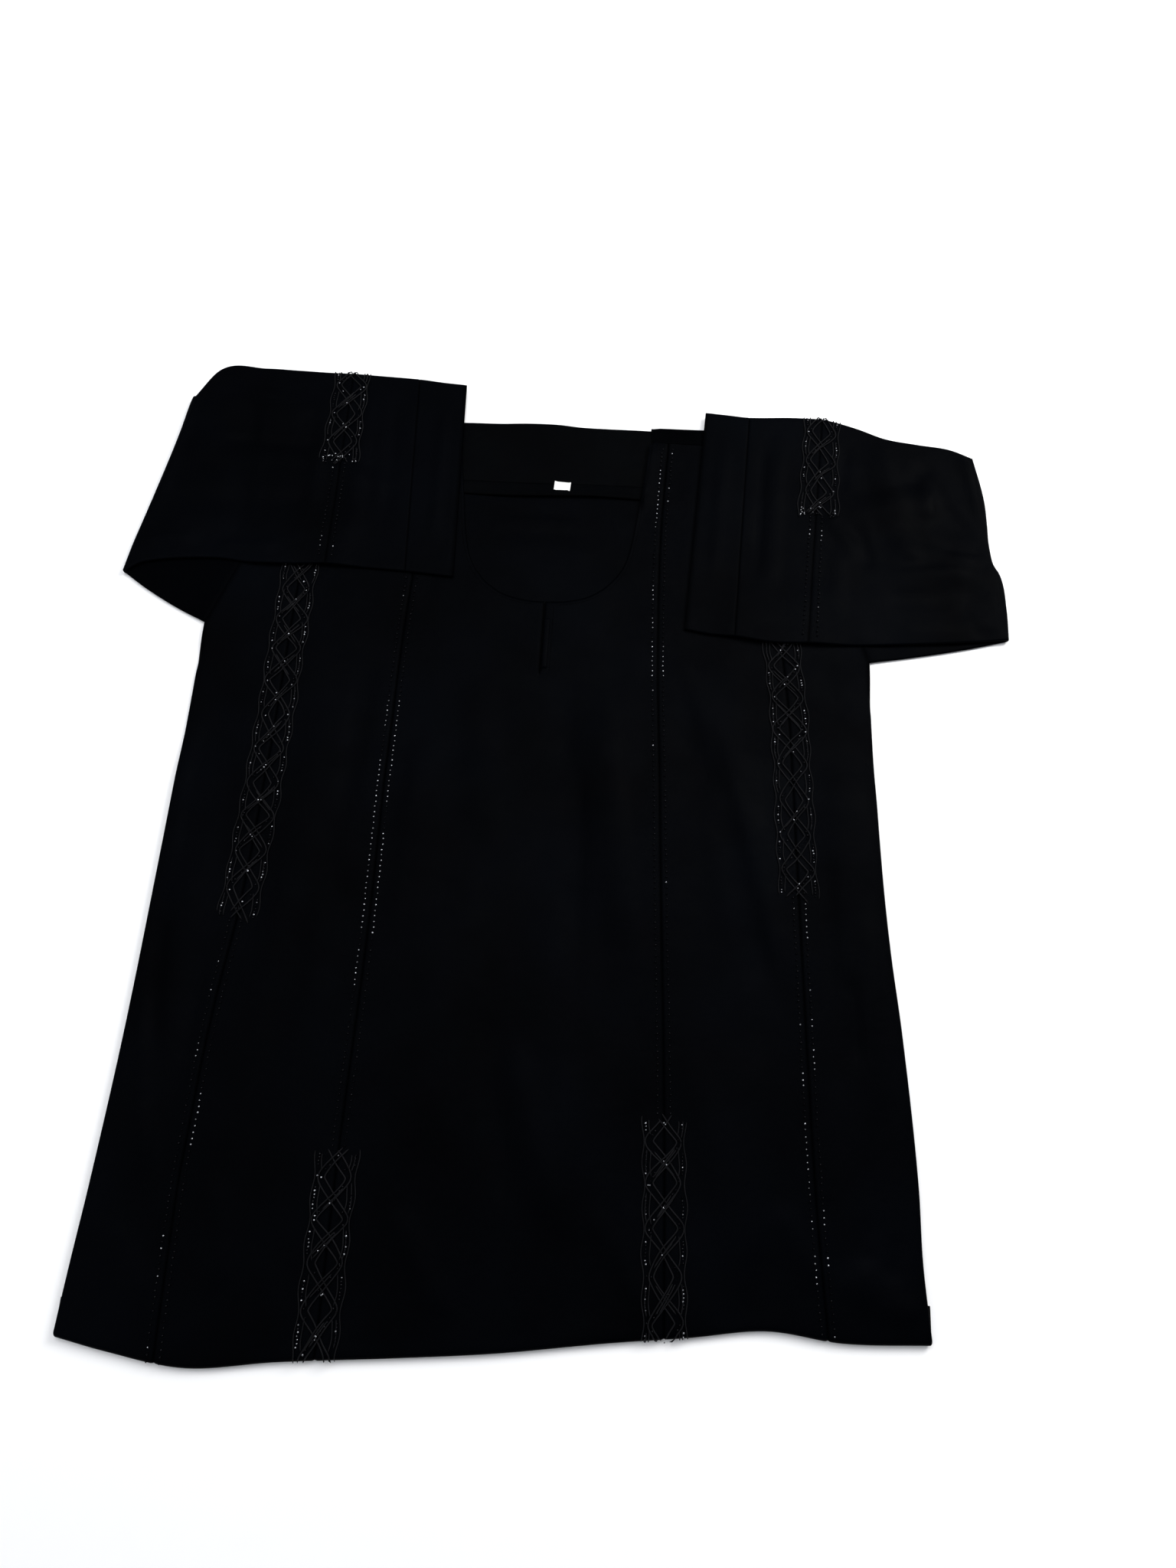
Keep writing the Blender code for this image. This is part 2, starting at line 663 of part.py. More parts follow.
def build():
    """Make every piece, then move the origin to the middle of the box on the surface."""
    for old in list(bpy.data.objects):
        bpy.data.objects.remove(old, do_unlink=True)
    turned_under_layers()
    back_panel()
    back_neck_facing()
    size_label()
    centre = centre_front()
    left_front, right_front = side_front("side_front_left", LEFT), side_front("side_front_right", RIGHT)
    left_panel, right_panel = side_panel("side_panel_left", LEFT), side_panel("side_panel_right", RIGHT)
    slit_binding()
    left_sleeve, right_sleeve = sleeve("sleeve_left", LEFT), sleeve("sleeve_right", RIGHT)
    left_cuff, right_cuff = cuff("cuff_left", LEFT), cuff("cuff_right", RIGHT)
    left_body = surface_height([centre, left_front, left_panel])
    right_body = surface_height([centre, right_front, right_panel])
    front_braid("braid_outer_left", LEFT_OUTER_SEAM, *LEFT_OUTER_BRAID, left_body)
    front_braid("braid_outer_right", RIGHT_OUTER_SEAM, *RIGHT_OUTER_BRAID, right_body)
    lower_braid("braid_lower_left", LEFT_INNER_SEAM, LEFT_LOWER_BRAID, left_body)
    lower_braid("braid_lower_right", RIGHT_INNER_SEAM, RIGHT_LOWER_BRAID, right_body)
    sleeve_braid("braid_sleeve_left", LEFT, LEFT_SLEEVE_BRAID, surface_height([left_sleeve, left_cuff]))
    sleeve_braid("braid_sleeve_right", RIGHT, RIGHT_SLEEVE_BRAID, surface_height([right_sleeve, right_cuff]))
    points = [v.co for made in bpy.data.objects for v in made.data.vertices]
    middle = Vector([(min(p[k] for p in points) + max(p[k] for p in points)) / 2 for k in range(2)] + [0.0])
    for made in bpy.data.objects:
        for vertex in made.data.vertices:
            vertex.co -= middle


build()
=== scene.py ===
"""Finishes a long black cloak that lies flat, its sleeves folded in and its lower length turned under.

Places on the cloak are millimetres from the middle of the bottom fold: x across, y towards the neck and z up
from the surface that it lies on. Left and right are as seen with the neck at the top.
"""

import logging
import math
from collections.abc import Callable, Sequence
from dataclasses import dataclass
from enum import Enum

import bmesh
import bpy
import numpy as np
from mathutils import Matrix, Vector


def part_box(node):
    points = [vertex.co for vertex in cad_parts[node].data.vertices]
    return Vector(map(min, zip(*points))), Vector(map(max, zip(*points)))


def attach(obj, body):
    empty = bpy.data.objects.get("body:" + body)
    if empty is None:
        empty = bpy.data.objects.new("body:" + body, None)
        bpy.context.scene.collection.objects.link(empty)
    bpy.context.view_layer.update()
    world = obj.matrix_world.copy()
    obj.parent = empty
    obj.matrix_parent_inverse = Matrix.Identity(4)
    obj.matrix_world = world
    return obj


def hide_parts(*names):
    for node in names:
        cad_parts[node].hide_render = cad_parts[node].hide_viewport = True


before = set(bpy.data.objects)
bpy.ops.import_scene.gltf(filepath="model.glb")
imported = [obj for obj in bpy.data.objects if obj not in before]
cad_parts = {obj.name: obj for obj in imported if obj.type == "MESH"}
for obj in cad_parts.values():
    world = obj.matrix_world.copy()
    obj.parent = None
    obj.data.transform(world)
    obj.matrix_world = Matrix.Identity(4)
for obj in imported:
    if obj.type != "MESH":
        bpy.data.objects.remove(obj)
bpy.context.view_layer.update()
LOG = logging.getLogger("cloak")

Array = np.ndarray
Colour = tuple[float, float, float]
Rows = tuple[tuple[float, ...], ...]
Cord = tuple[np.ndarray, np.ndarray, float]
Grid = np.ndarray | Sequence[np.ndarray]
Piece = bpy.types.Object
Socket = bpy.types.NodeSocket
Spot = Callable[[np.ndarray, np.ndarray, np.ndarray], np.ndarray]

# Levels and walls in millimetres
BODY_HEIGHT, TURNED_HEIGHT, TURNED_GAP = 4.0, 3.6, 0.3
FOLD_TURN = (TURNED_HEIGHT + TURNED_GAP + BODY_HEIGHT) / 2
CLOTH_WALL, SEAM_INSET, SIDE_TURN = 0.9, 0.06, 2.0
SLEEVE_HEIGHT, SLEEVE_LIFT, SLEEVE_WALL_START = 3.0, 4.3, 1.35
BRAID_HALF, BRAID_PITCH, BRAID_REACH = 20.0, 35.3, 16.8
BEAD_OFF = 5.4
# Heights up the cloak, and widths of its openings
TURNED_END, STEP_START, STEP_END = 466.0, 478.0, 540.0
SHOULDER_SEAM, FACING_LOW = 888.0, 817.0
SLIT_HALF, SLIT_LOW = 0.6, 613.0
NECK_HALF, NECK_SPREAD, NECK_TOP = 101.0, 0.12, 908.0
NECK_SHARE = 0.9
# How much deeper the creases are than their rows say, a wave's full turn, and the small waves' lengths
CREASE_DEPTH, WAVE_TURN = 1.3, 6.28
WAVE_LENGTHS = (150.0, 118.0, 90.0, 71.0, 52.0, 41.0, 33.0, 26.0)
# Scale at which the wave texture's bands repeat once in a unit
WAVE_SCALE = 0.31416


def ease(value: Array | float) -> Array:
    """Rise from 0 to 1 with level ends."""
    value = np.clip(value, 0.0, 1.0)
    return value * value * (3 - 2 * value)


def show(name: str, content: bpy.types.ID) -> Piece:
    """Put a mesh, a light or a camera into the scene as an object.

    Args:
        name: the object's name.
        content: what it shows.

    Returns:
        The new object.
    """
    made = bpy.data.objects.new(name, content)
    bpy.context.scene.collection.objects.link(made)
    return made


def face_outward(mesh: bpy.types.Mesh) -> None:
    """Turn a closed mesh's faces outward.

    Args:
        mesh: the mesh, changed in place.
    """
    shell = bmesh.new()
    shell.from_mesh(mesh)
    bmesh.ops.recalc_face_normals(shell, faces=shell.faces)
    shell.to_mesh(mesh)
    shell.free()


def point_values(mesh: bpy.types.Mesh, label: str, values: Array) -> None:
    """Give each point of a mesh a number, or a direction where the values have three columns."""
    kind, key = ("FLOAT_VECTOR", "vector") if values.ndim == 2 else ("FLOAT", "value")
    mesh.attributes.new(label, kind, "POINT").data.foreach_set(key, values.astype(np.float32).ravel())


def chain_lengths(points: Array) -> Array:
    """Distance of each point from the first along a chain."""
    return np.concatenate([[0.0], np.cumsum(np.linalg.norm(np.diff(points, axis=0), axis=1))])


def xyz(x: Array | float, y: Array | float, z: Array | float) -> Array:
    """Join coordinates into points."""
    return np.stack(np.broadcast_arrays(x, y, z), axis=-1)


def turned_base(y: Array) -> Array:
    """Height of the layers that the cloak lies on, none past their end."""
    return (TURNED_HEIGHT + TURNED_GAP) * (1 - ease((y - STEP_START) / (STEP_END - STEP_START)))


@dataclass(frozen=True)
class Curve:
    """Smooth curve through rows of (place, value)."""

    rows: Rows

    def at(self, place: Array | float) -> Array:
        """Read the curve.

        Args:
            place: one or more places along it.

        Returns:
            The value at each place, level past both ends.
        """
        places, values = np.array(sorted(self.rows), float).T
        spans = np.diff(places)
        slopes = np.diff(values) / spans
        between = (slopes[:-1] + slopes[1:]) / 2
        start, end = np.append(slopes[:1], between), np.append(between, slopes[-1:])
        place = np.clip(place, places[0], places[-1])
        k = np.clip(np.searchsorted(places, place, side="right") - 1, 0, len(spans) - 1)
        t = (place - places[k]) / spans[k]
        joined = values[k] * (1 + 2 * t) * (1 - t) ** 2 + values[k + 1] * t * t * (3 - 2 * t)
        return joined + spans[k] * t * (1 - t) * (start[k] * (1 - t) - end[k] * t)


@dataclass(frozen=True)
class Crease:
    """Soft ridge, or trough where its height is negative, along a line that may bow to one side."""

    x1: float
    y1: float
    x2: float
    y2: float
    half: float
    height: float
    lean: float = 0.0
    bow: float = 0.0

    def lift(self, x: Array, y: Array) -> Array:
        """Work out what it adds to the cloth's height.

        Args:
            x: places across the cloak.
            y: places up the cloak.

        Returns:
            The added height at each place.
        """
        ax, ay = self.x2 - self.x1, self.y2 - self.y1
        length = math.hypot(ax, ay)
        share = ((x - self.x1) * ax + (y - self.y1) * ay) / length**2
        inside = np.clip(share, 0, 1)
        off = ((x - self.x1) * ay - (y - self.y1) * ax) / length - self.bow * 4 * inside * (1 - inside)
        reach = self.half * (1 + self.lean * np.sign(off))
        ridge = np.cos(np.clip(np.abs(off) / reach, 0, 1) * math.pi / 2) ** 2
        return self.height * ridge * ease(4 * share) * ease(4 * (1 - share))


@dataclass(frozen=True)
class Relief:
    """Height of a cloth's surface: its placed creases and a faint unevenness."""

    creases: tuple[Crease, ...]
    wave_height: float
    seed: int

    @classmethod
    def of(cls, wave_height: float, seed: int, *rows: tuple[float, ...]) -> "Relief":
        """Make a relief from a row of sizes for each crease."""
        return cls(tuple(Crease(*row) for row in rows), wave_height, seed)

    def lift(self, x: Array, y: Array) -> Array:
        """Work out the added height.

        Args:
            x: places across the cloak.
            y: places up the cloak.

        Returns:
            The height that creases and unevenness add at each place.
        """
        total = np.zeros(np.broadcast(x, y).shape)
        for crease in self.creases:
            total += CREASE_DEPTH * crease.lift(x, y)
        picks = np.random.default_rng(self.seed)
        for length in WAVE_LENGTHS:
            angle, shift = picks.uniform(-0.9, 0.9), picks.uniform(0, WAVE_TURN)
            phase = (x * math.cos(angle) + y * 0.45 * math.sin(angle)) / length * WAVE_TURN + shift
            slow = np.sin(y / (length * 3.1) * WAVE_TURN + shift * 2 + x / 260)
            total += self.wave_height * length / WAVE_LENGTHS[0] * np.sin(phase) * (0.55 + 0.45 * slow)
        return total


@dataclass(frozen=True)
class Place:
    """Where the cloak's own millimetres lie in the frame."""

    shift_x: float
    shift_y: float

    @classmethod
    def from_binding(cls) -> "Place":
        """Find the shift from the corner of the slit's binding."""
        low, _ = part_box("slit_binding")
        return cls(SLIT_HALF - low[0] * 1000, SLIT_LOW + 4 - low[1] * 1000)

    def metres(self, points: Array) -> Array:
        """Turn points in millimetres into the frame's metres."""
        return (np.asarray(points, float) - (self.shift_x, self.shift_y, 0.0)) / 1000


PLACE = Place.from_binding()


class Hold(Enum):
    """How a sheet of cloth lies."""

    LAID = "laid"
    FOLDED = "folded"


class Slot(Enum):
    """Material slots of the record."""

    CREPE = "crepe"
    FACING = "facing"
    LABEL = "label"
    CORD = "cord_braid"


class Nodes:
    """Node tree under construction."""

    def __init__(self, tree: bpy.types.NodeTree) -> None:
        """Start with a tree."""
        self.tree = tree

    def add(self, kind: str, sockets: dict[str | int, object] | None = None,
            **options: object) -> bpy.types.Node:
        """Add one node.

        Args:
            kind: the node's type.
            sockets: input values by name or number, where a node's output is linked and anything else is set.
            options: the node's own settings.

        Returns:
            The new node.
        """
        node = self.tree.nodes.new(kind)
        for name, value in options.items():
            setattr(node, name, value)
        for name, value in (sockets or {}).items():
            self.feed(node, name, value)
        return node

    def feed(self, node: bpy.types.Node, name: str | int, value: object) -> None:
        """Link a node's output to an input, or set the input's value.

        Args:
            node: the node.
            name: the input's name or number.
            value: an output to link, or a value.
        """
        if isinstance(value, Socket):
            self.tree.links.new(value, node.inputs[name])
        else:
            node.inputs[name].default_value = value


class NodeKit(Nodes):
    """Material under construction, with its nodes and links."""

    def __init__(self, name: str) -> None:
        """Start a material with a Principled shader.

        Args:
            name: the material's name.
        """
        self.material = bpy.data.materials.new(name)
        self.material.use_nodes = True
        super().__init__(self.material.node_tree)
        self.shader = self.tree.nodes["Principled BSDF"]
        self.place = self.add("ShaderNodeTexCoord").outputs["Object"]

    def finish(self, **values: object) -> bpy.types.Material:
        """Feed the shader and end the material.

        Args:
            values: the shader's inputs by name, with low lines for spaces.

        Returns:
            The material.
        """
        for name, value in values.items():
            self.feed(self.shader, name.replace("_", " "), value)
        return self.material

    def noise(self, scale: float, detail: float) -> Socket:
        """Add a noise texture over the piece's own place and return its value."""
        node = self.add("ShaderNodeTexNoise", {"Vector": self.place, "Scale": scale, "Detail": detail})
        return node.outputs["Fac"]

    def weave(self, period: float, axis: str) -> Socket:
        """Add thread lines across one axis.

        Args:
            period: distance between threads in metres.
            axis: the axis, X or Y.

        Returns:
            The threads' height.
        """
        node = self.add("ShaderNodeTexWave", {
            "Vector": self.place, "Scale": WAVE_SCALE / period, "Distortion": 1.2, "Detail": 1.0,
            "Detail Scale": 1.5}, bands_direction=axis)
        return node.outputs["Fac"]

    def ramp(self, value: Socket, start: float, end: float, low: float = 0.3, high: float = 0.7) -> Socket:
        """Map one range of a value onto another.

        Args:
            value: the value.
            start: result at low.
            end: result at high.
            low: where the value's range starts.
            high: where it ends.

        Returns:
            The result.
        """
        node = self.add("ShaderNodeMapRange", {
            "Value": value, "From Min": low, "From Max": high, "To Min": start, "To Max": end})
        return node.outputs["Result"]

    def share(self, label: str) -> Socket:
        """Read a number that the mesh gives each point."""
        return self.add("ShaderNodeAttribute", attribute_name=label).outputs["Fac"]

    def blend(self, share: Socket, first: Colour | Socket, second: Colour) -> Socket:
        """Mix two colours by a share.

        Args:
            share: share of the second colour.
            first: the first colour.
            second: the second colour.

        Returns:
            The mixed colour.
        """
        start = first if isinstance(first, Socket) else (*first, 1.0)
        node = self.add("ShaderNodeMix", {0: share, 6: start, 7: (*second, 1.0)}, data_type="RGBA")
        return node.outputs[2]

    def bump(self, height: Socket, depth: float, strength: float, below: Socket | None = None) -> Socket:
        """Add a bump.

        Args:
            height: its height, from 0 to 1.
            depth: its depth in metres.
            strength: its share of full strength.
            below: normal of the bump that it lies on, or none.

        Returns:
            Its normal.
        """
        node = self.add("ShaderNodeBump", {"Height": height, "Distance": depth, "Strength": strength})
        if below is not None:
            self.feed(node, "Normal", below)
        return node.outputs["Normal"]

    def product(self, first: Socket, second: Socket | float) -> Socket:
        """Multiply two values."""
        return self.add("ShaderNodeMath", {0: first, 1: second}, operation="MULTIPLY").outputs[0]


@dataclass(frozen=True)
class ClothFinish:
    """Matt woven cloth with a faint grain and soft rumples."""

    name: str
    dark: Colour
    light: Colour
    sheen_tint: Colour = (1.0, 1.0, 1.0)
    sheen: float = 0.0
    roughness: float = 0.38
    specular: float = 0.009
    thread: float = 0.00045
    rumple: float = 0.0007

    def build(self) -> bpy.types.Material:
        """Make the material.

        Returns:
            Cloth whose colour and gloss vary softly, painted darker towards shade where the mesh's edge value
            is high, and whose grain is in its bump.
        """
        kit = NodeKit(self.name)
        edge = kit.share("edge")
        cloudy = kit.blend(kit.ramp(kit.noise(7.0, 3.0), 0.0, 1.0), self.dark, self.light)
        # Painted shade: where the edge value is high the colour is darkened towards this and the gloss
        # dimmed, standing in for shade at seams, edges and under the folded sleeves.
        shade = tuple(0.4 * part for part in self.dark)
        rumples = kit.bump(kit.noise(85.0, 4.0), self.rumple, 0.5)
        pebble = kit.bump(kit.noise(1500.0, 2.0), self.thread * 0.35, 0.5, rumples)
        threads = kit.product(kit.weave(self.thread, "X"), kit.weave(self.thread, "Y"))
        return kit.finish(
            Base_Color=kit.blend(kit.product(edge, 0.8), cloudy, shade),
            Roughness=kit.ramp(kit.noise(34.0, 2.0), self.roughness - 0.06, self.roughness + 0.08),
            Specular_IOR_Level=kit.ramp(edge, self.specular, self.specular * 0.3, 0.0, 1.0),
            Sheen_Weight=self.sheen, Sheen_Roughness=0.45, Sheen_Tint=(*self.sheen_tint, 1.0),
            Normal=kit.bump(threads, self.thread * 0.3, 0.4, pebble))


@dataclass(frozen=True)
class CordFinish:
    """Twisted satin cord, with the twist along its own length."""

    name: str
    dark: Colour
    light: Colour
    roughness: float = 0.42
    specular: float = 0.07
    twist: float = 22.0

    def build(self) -> bpy.types.Material:
        """Make the material.

        Returns:
            Cord whose strands run slanting round it.
        """
        kit = NodeKit(self.name)
        own = kit.add("ShaderNodeTexCoord").outputs["UV"]
        strands = kit.add("ShaderNodeTexWave", {
            "Vector": own, "Scale": WAVE_SCALE * self.twist, "Distortion": 0.0}, bands_direction="DIAGONAL")
        strands = strands.outputs["Fac"]
        wear = kit.noise(60.0, 2.0)
        fuzz = kit.bump(kit.noise(2600.0, 2.0), 0.00006, 0.4)
        return kit.finish(
            Base_Color=kit.blend(kit.product(strands, wear), self.dark, self.light),
            Roughness=kit.ramp(wear, self.roughness - 0.08, self.roughness + 0.12),
            Specular_IOR_Level=self.specular, Normal=kit.bump(strands, 0.0003, 0.6, fuzz))


@dataclass(frozen=True)
class BeadFinish:
    """Small faceted glass beads of one kind, painted silver where they glint and near black where they catch
    no light.
    """

    name: str
    unlit_colour: Colour
    glint_colour: Colour
    roughness: float = 0.16

    def build(self) -> bpy.types.Material:
        """Make the material.

        Returns:
            Beads whose colour is a painted glint or a painted near-black shade by each bead's glint share,
            with their reflections dimmed where it is low.
        """
        kit = NodeKit(self.name)
        glint, scuffs = kit.share("glint"), kit.noise(900.0, 3.0)
        return kit.finish(
            # Painted glint and shade: glinting beads take the bright colour, the rest a near-black one.
            Base_Color=kit.blend(glint, self.unlit_colour, self.glint_colour),
            Roughness=kit.ramp(scuffs, self.roughness - 0.05, self.roughness + 0.1),
            Metallic=0.85, Specular_IOR_Level=kit.ramp(glint, 0.06, 0.5, 0.0, 0.3),
            Normal=kit.bump(scuffs, 0.00008, 0.35))


@dataclass(frozen=True)
class FloorFinish:
    """Plain pale studio floor with a faint grain."""

    name: str
    colour: Colour

    def build(self) -> bpy.types.Material:
        """Make the material.

        Returns:
            Matt pale paint.
        """
        kit = NodeKit(self.name)
        shade = tuple(part * 0.985 for part in self.colour)
        return kit.finish(Base_Color=kit.blend(kit.noise(40.0, 3.0), shade, self.colour), Roughness=0.9,
                          Specular_IOR_Level=0.1)


Finish = ClothFinish | CordFinish | BeadFinish | FloorFinish
CREPE = ClothFinish("black_crepe", (0.0001, 0.0002, 0.0005), (0.0005, 0.0008, 0.0015), (0.5, 0.6, 1.0))
LINING = ClothFinish("black_facing", (0.0002, 0.0003, 0.0005), (0.0007, 0.0009, 0.0013), (0.7, 0.75, 0.9),
                     thread=0.0006)
WOVEN_WHITE = ClothFinish("white_woven_label", (0.74, 0.74, 0.72), (0.84, 0.84, 0.82), sheen=0.1,
                          roughness=0.7, specular=0.3, thread=0.0003, rumple=0.0002)
CORD = CordFinish("black_satin_cord", (0.0015, 0.0015, 0.002), (0.0165, 0.017, 0.02))
THREAD = CordFinish("black_thread", (0.0002, 0.0002, 0.0003), (0.0008, 0.0009, 0.0013), roughness=0.5,
                    specular=0.01, twist=9.0)
# Bead colours: a painted near-black shade and a painted silver glint.
BEADS = BeadFinish("glass_beads_painted_glints", (0.002, 0.002, 0.003), (0.44, 0.45, 0.48))
FLOOR = FloorFinish("pale_floor", (0.90, 0.90, 0.90))


class Sheets:
    def __init__(self) -> None:
        """Keep each finish's material once it is made."""
        self.made: dict[str, bpy.types.Material] = {}

    def material(self, finish: Finish) -> bpy.types.Material:
        """Give a finish's material, made the first time it is asked for.

        Args:
            finish: the finish.

        Returns:
            Its material.
        """
        if finish.name not in self.made:
            self.made[finish.name] = finish.build()
        return self.made[finish.name]

    def add(self, name: str, finish: Finish, points: Array, faces: Array, edge: Array,
            sharp: float = 50.0) -> Piece:
        """Make one object from points in millimetres.

        Args:
            name: the piece's name.
            finish: what it is made of.
            points: its points.
            faces: four point numbers a face.
            edge: share of painted shade at each point, from 0 to 1, mostly by nearness to a seam or an edge
                and also under the folded sleeves.
            sharp: angle in degrees past which two faces meet in a crisp edge.

        Returns:
            The new object, with its place in its mesh.
        """
        mesh = bpy.data.meshes.new(name)
        points[..., 2] = np.maximum(points[..., 2], 0.0)
        mesh.from_pydata(PLACE.metres(points).tolist(), [], faces.tolist())
        face_outward(mesh)
        # The edge value is the share of painted shade by which the cloth material darkens each point.
        point_values(mesh, "edge", edge)
        mesh.materials.append(self.material(finish))
        mesh.shade_smooth()
        mesh.set_sharp_from_angle(angle=math.radians(sharp))
        return show(name, mesh)

    def wall(self, name: str, finish: Finish, outer: Grid, inner: Grid, edge: Grid | None = None,
             keep: Array | None = None, tube: bool = False) -> Piece:
        """Make a closed wall between two grids of points.

        Args:
            name: the piece's name.
            finish: what it is made of.
            outer: grid of the outer face, rows by columns by three.
            inner: grid of the inner face.
            edge: share of painted shade at each point of a grid, mostly by nearness to a seam or an edge, or
                none.
            keep: which cells are cloth, or all of them.
            tube: whether the last column joins the first.

        Returns:
            The new object.
        """
        outer, inner = np.array(outer), np.array(inner)
        edge = np.zeros(outer.shape[:2]) if edge is None else np.array(edge)
        rows, columns = outer.shape[:2]
        wide = columns if tube else columns - 1
        kept = np.ones((rows - 1, wide), bool) if keep is None else keep
        shift = rows * columns
        number = np.arange(shift).reshape(rows, columns)
        first, nearer = number[:, :wide], np.roll(number, -1, axis=1)[:, :wide]
        loop = np.stack([first[:-1], nearer[:-1], nearer[1:], first[1:]], axis=-1)
        faces = [loop[kept], shift + loop[kept][:, ::-1]]
        padded = np.zeros((rows + 1, wide + 2), bool)
        padded[1:-1, 1:-1] = kept
        if tube:
            padded[:, 0], padded[:, -1] = padded[:, -2], padded[:, 1]
        beside = (padded[:-2, 1:-1], padded[1:-1, 2:], padded[2:, 1:-1], padded[1:-1, :-2])
        for k, near in enumerate(beside):
            rim = loop[kept & ~near]
            a, b = rim[:, k], rim[:, (k + 1) % 4]
            faces.append(np.stack([b, a, shift + a, shift + b], axis=-1))
        points = np.concatenate([outer.reshape(-1, 3), inner.reshape(-1, 3)])
        faces = np.concatenate(faces)
        used, packed = np.unique(faces, return_inverse=True)
        edge_shade = np.tile(edge.ravel(), 2)[used]
        return self.add(name, finish, points[used], packed.reshape(faces.shape), edge_shade)

    def declare(self, piece: Piece, node: str, slot: Slot, cut: tuple[float, float] | None = None,
                rests_on: tuple[str, ...] = (), hold: Hold = Hold.FOLDED) -> None:
        """Let a piece ride with the cloak and stand for its node.

        Args:
            piece: the finished piece.
            node: the solid that it stands for, or nothing for added trim.
            slot: the record's finish that it belongs to; not used.
            cut: width and length of the cloth's cut in millimetres, where it is a sheet.
            rests_on: what it lies on.
            hold: how the sheet lies; not used.
        """
        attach(piece, "root")
        if node:
            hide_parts(node)
        if cut is not None:
            list(rests_on)
        LOG.info("%s: %d points", piece.name, len(piece.data.vertices))


def near_seam(gap: Array | float, reach: float = 2.2) -> Array:
    """Share of a seam's dip at a distance from it."""
    return 1 - ease(gap / reach)


def spread(width: float, step: float, first: tuple[float, ...] = (0.0, 0.7, 1.5, 2.6, 4.2),
           last: tuple[float, ...] = (0.0, 0.7, 1.5, 2.6, 4.2)) -> Array:
    """Places across a panel, close together at its edges.

    Args:
        width: the panel's usual width.
        step: distance between places away from the edges.
        first: distances from the first edge.
        last: distances from the last edge.

    Returns:
        Shares of the width from 0 to 1.
    """
    start, end = first[-1], width - last[-1]
    count = max(2, round((end - start) / step))
    middle = np.linspace(start, end, count + 1)[1:-1]
    places = np.concatenate([np.array(first), middle, width - np.array(last)[::-1]])
    return places / width


@dataclass(frozen=True)
class Half:
    """Edges and seams of the cloak's left or right half."""

    sign: int
    side: Curve
    armhole: tuple[tuple[float, float], tuple[float, float]]
    inner: Curve
    outer: Curve
    under: Rows
    fold: tuple[float, ...]
    over: Rows
    cuff: Rows

    @property
    def armpit(self) -> float:
        """Height of the armpit."""
        return self.side.rows[-1][0]

    def edge(self, y: Array | float) -> Array:
        """Place of the side edge, or of the armhole above it.

        Args:
            y: places up the cloak.

        Returns:
            The edge's place across the cloak at each.
        """
        (y1, x1), (y2, x2) = self.armhole
        above = x1 + (x2 - x1) * (y - y1) / (y2 - y1)
        return np.where(np.asarray(y) <= self.armpit, self.side.at(y), above)

    def turn(self, y: Array | float) -> Array:
        """Share of the side edge's turn, none at the armhole."""
        return ease((self.armpit - 12 - y) / 50)


LEFT = Half(
    -1, Curve(((-5, -359), (50, -356), (112, -352), (241, -346), (383, -343), (540, -341), (652, -341))),
    ((652, -341), (905, -251)),
    Curve(((-12, -143), (145, -143), (335, -140), (548, -141), (698, -138), (888, -122))),
    Curve(((-22, -273), (58, -275), (122, -276), (176, -274), (228, -272), (284, -268), (352, -261),
           (455, -256), (625, -254), (718, -252), (888, -236))),
    ((-341, 652, -251, 905), (-372, 667, -292, 918), (-408, 688, -350, 930)), (-431, 704, -393, 922),
    ((-412, 716, -371, 958), (-341, 724, -320, 962), (-300, 720, -285, 961), (-262, 720, -252, 960),
     (-227, 722, -226, 960)),
    ((-227, 722, -226, 960), (-186, 720, -190, 958), (-145, 718, -153, 956), (-120, 716, -126, 953),
     (-95, 714, -101, 951)))
RIGHT = Half(
    1, Curve(((24, 359), (86, 354), (147, 353), (276, 344), (345, 337), (417, 332), (571, 327), (640, 327))),
    ((640, 327), (905, 246)),
    Curve(((17, 140), (193, 135), (421, 125), (521, 121), (644, 116), (777, 115), (888, 120))),
    Curve(((23, 274), (94, 268), (174, 263), (239, 260), (332, 256), (402, 253), (481, 250), (567, 247),
           (649, 240), (888, 224))),
    ((327, 640, 246, 905), (370, 648, 300, 893), (425, 660, 390, 886)), (463, 670, 441, 884),
    ((446, 668, 420, 893), (410, 664, 386, 898), (360, 660, 350, 904), (321, 657, 322, 915),
     (290, 656, 300, 922), (265, 656, 284, 926)),
    ((265, 656, 284, 926), (230, 655, 250, 926), (192, 660, 206, 924), (166, 662, 182, 926),
     (142, 666, 159, 928)))
BOTTOM_FOLD = Curve(((-359, -5), (-314, -14), (-249, -23), (-175, -15), (-76, -7), (0, 0), (98, 13),
                     (161, 20), (224, 28), (286, 22), (359, 24)))
NECK_SIDE = 100
NECK_ROWS = ((SLIT_HALF, 692, 0.0), (20, 693, 0.1), (40, 698, 0.2), (54, 706, 0.3), (66, 717, 0.4),
             (79, 737, 0.5), (87, 768, 0.6), (93, 817, 0.7), (98, 860, 0.8),
             (NECK_SIDE, SHOULDER_SEAM, NECK_SHARE))
NECK_X = Curve(tuple((share, x) for x, _, share in NECK_ROWS))
NECK_Y = Curve(tuple((share, y) for _, y, share in NECK_ROWS))
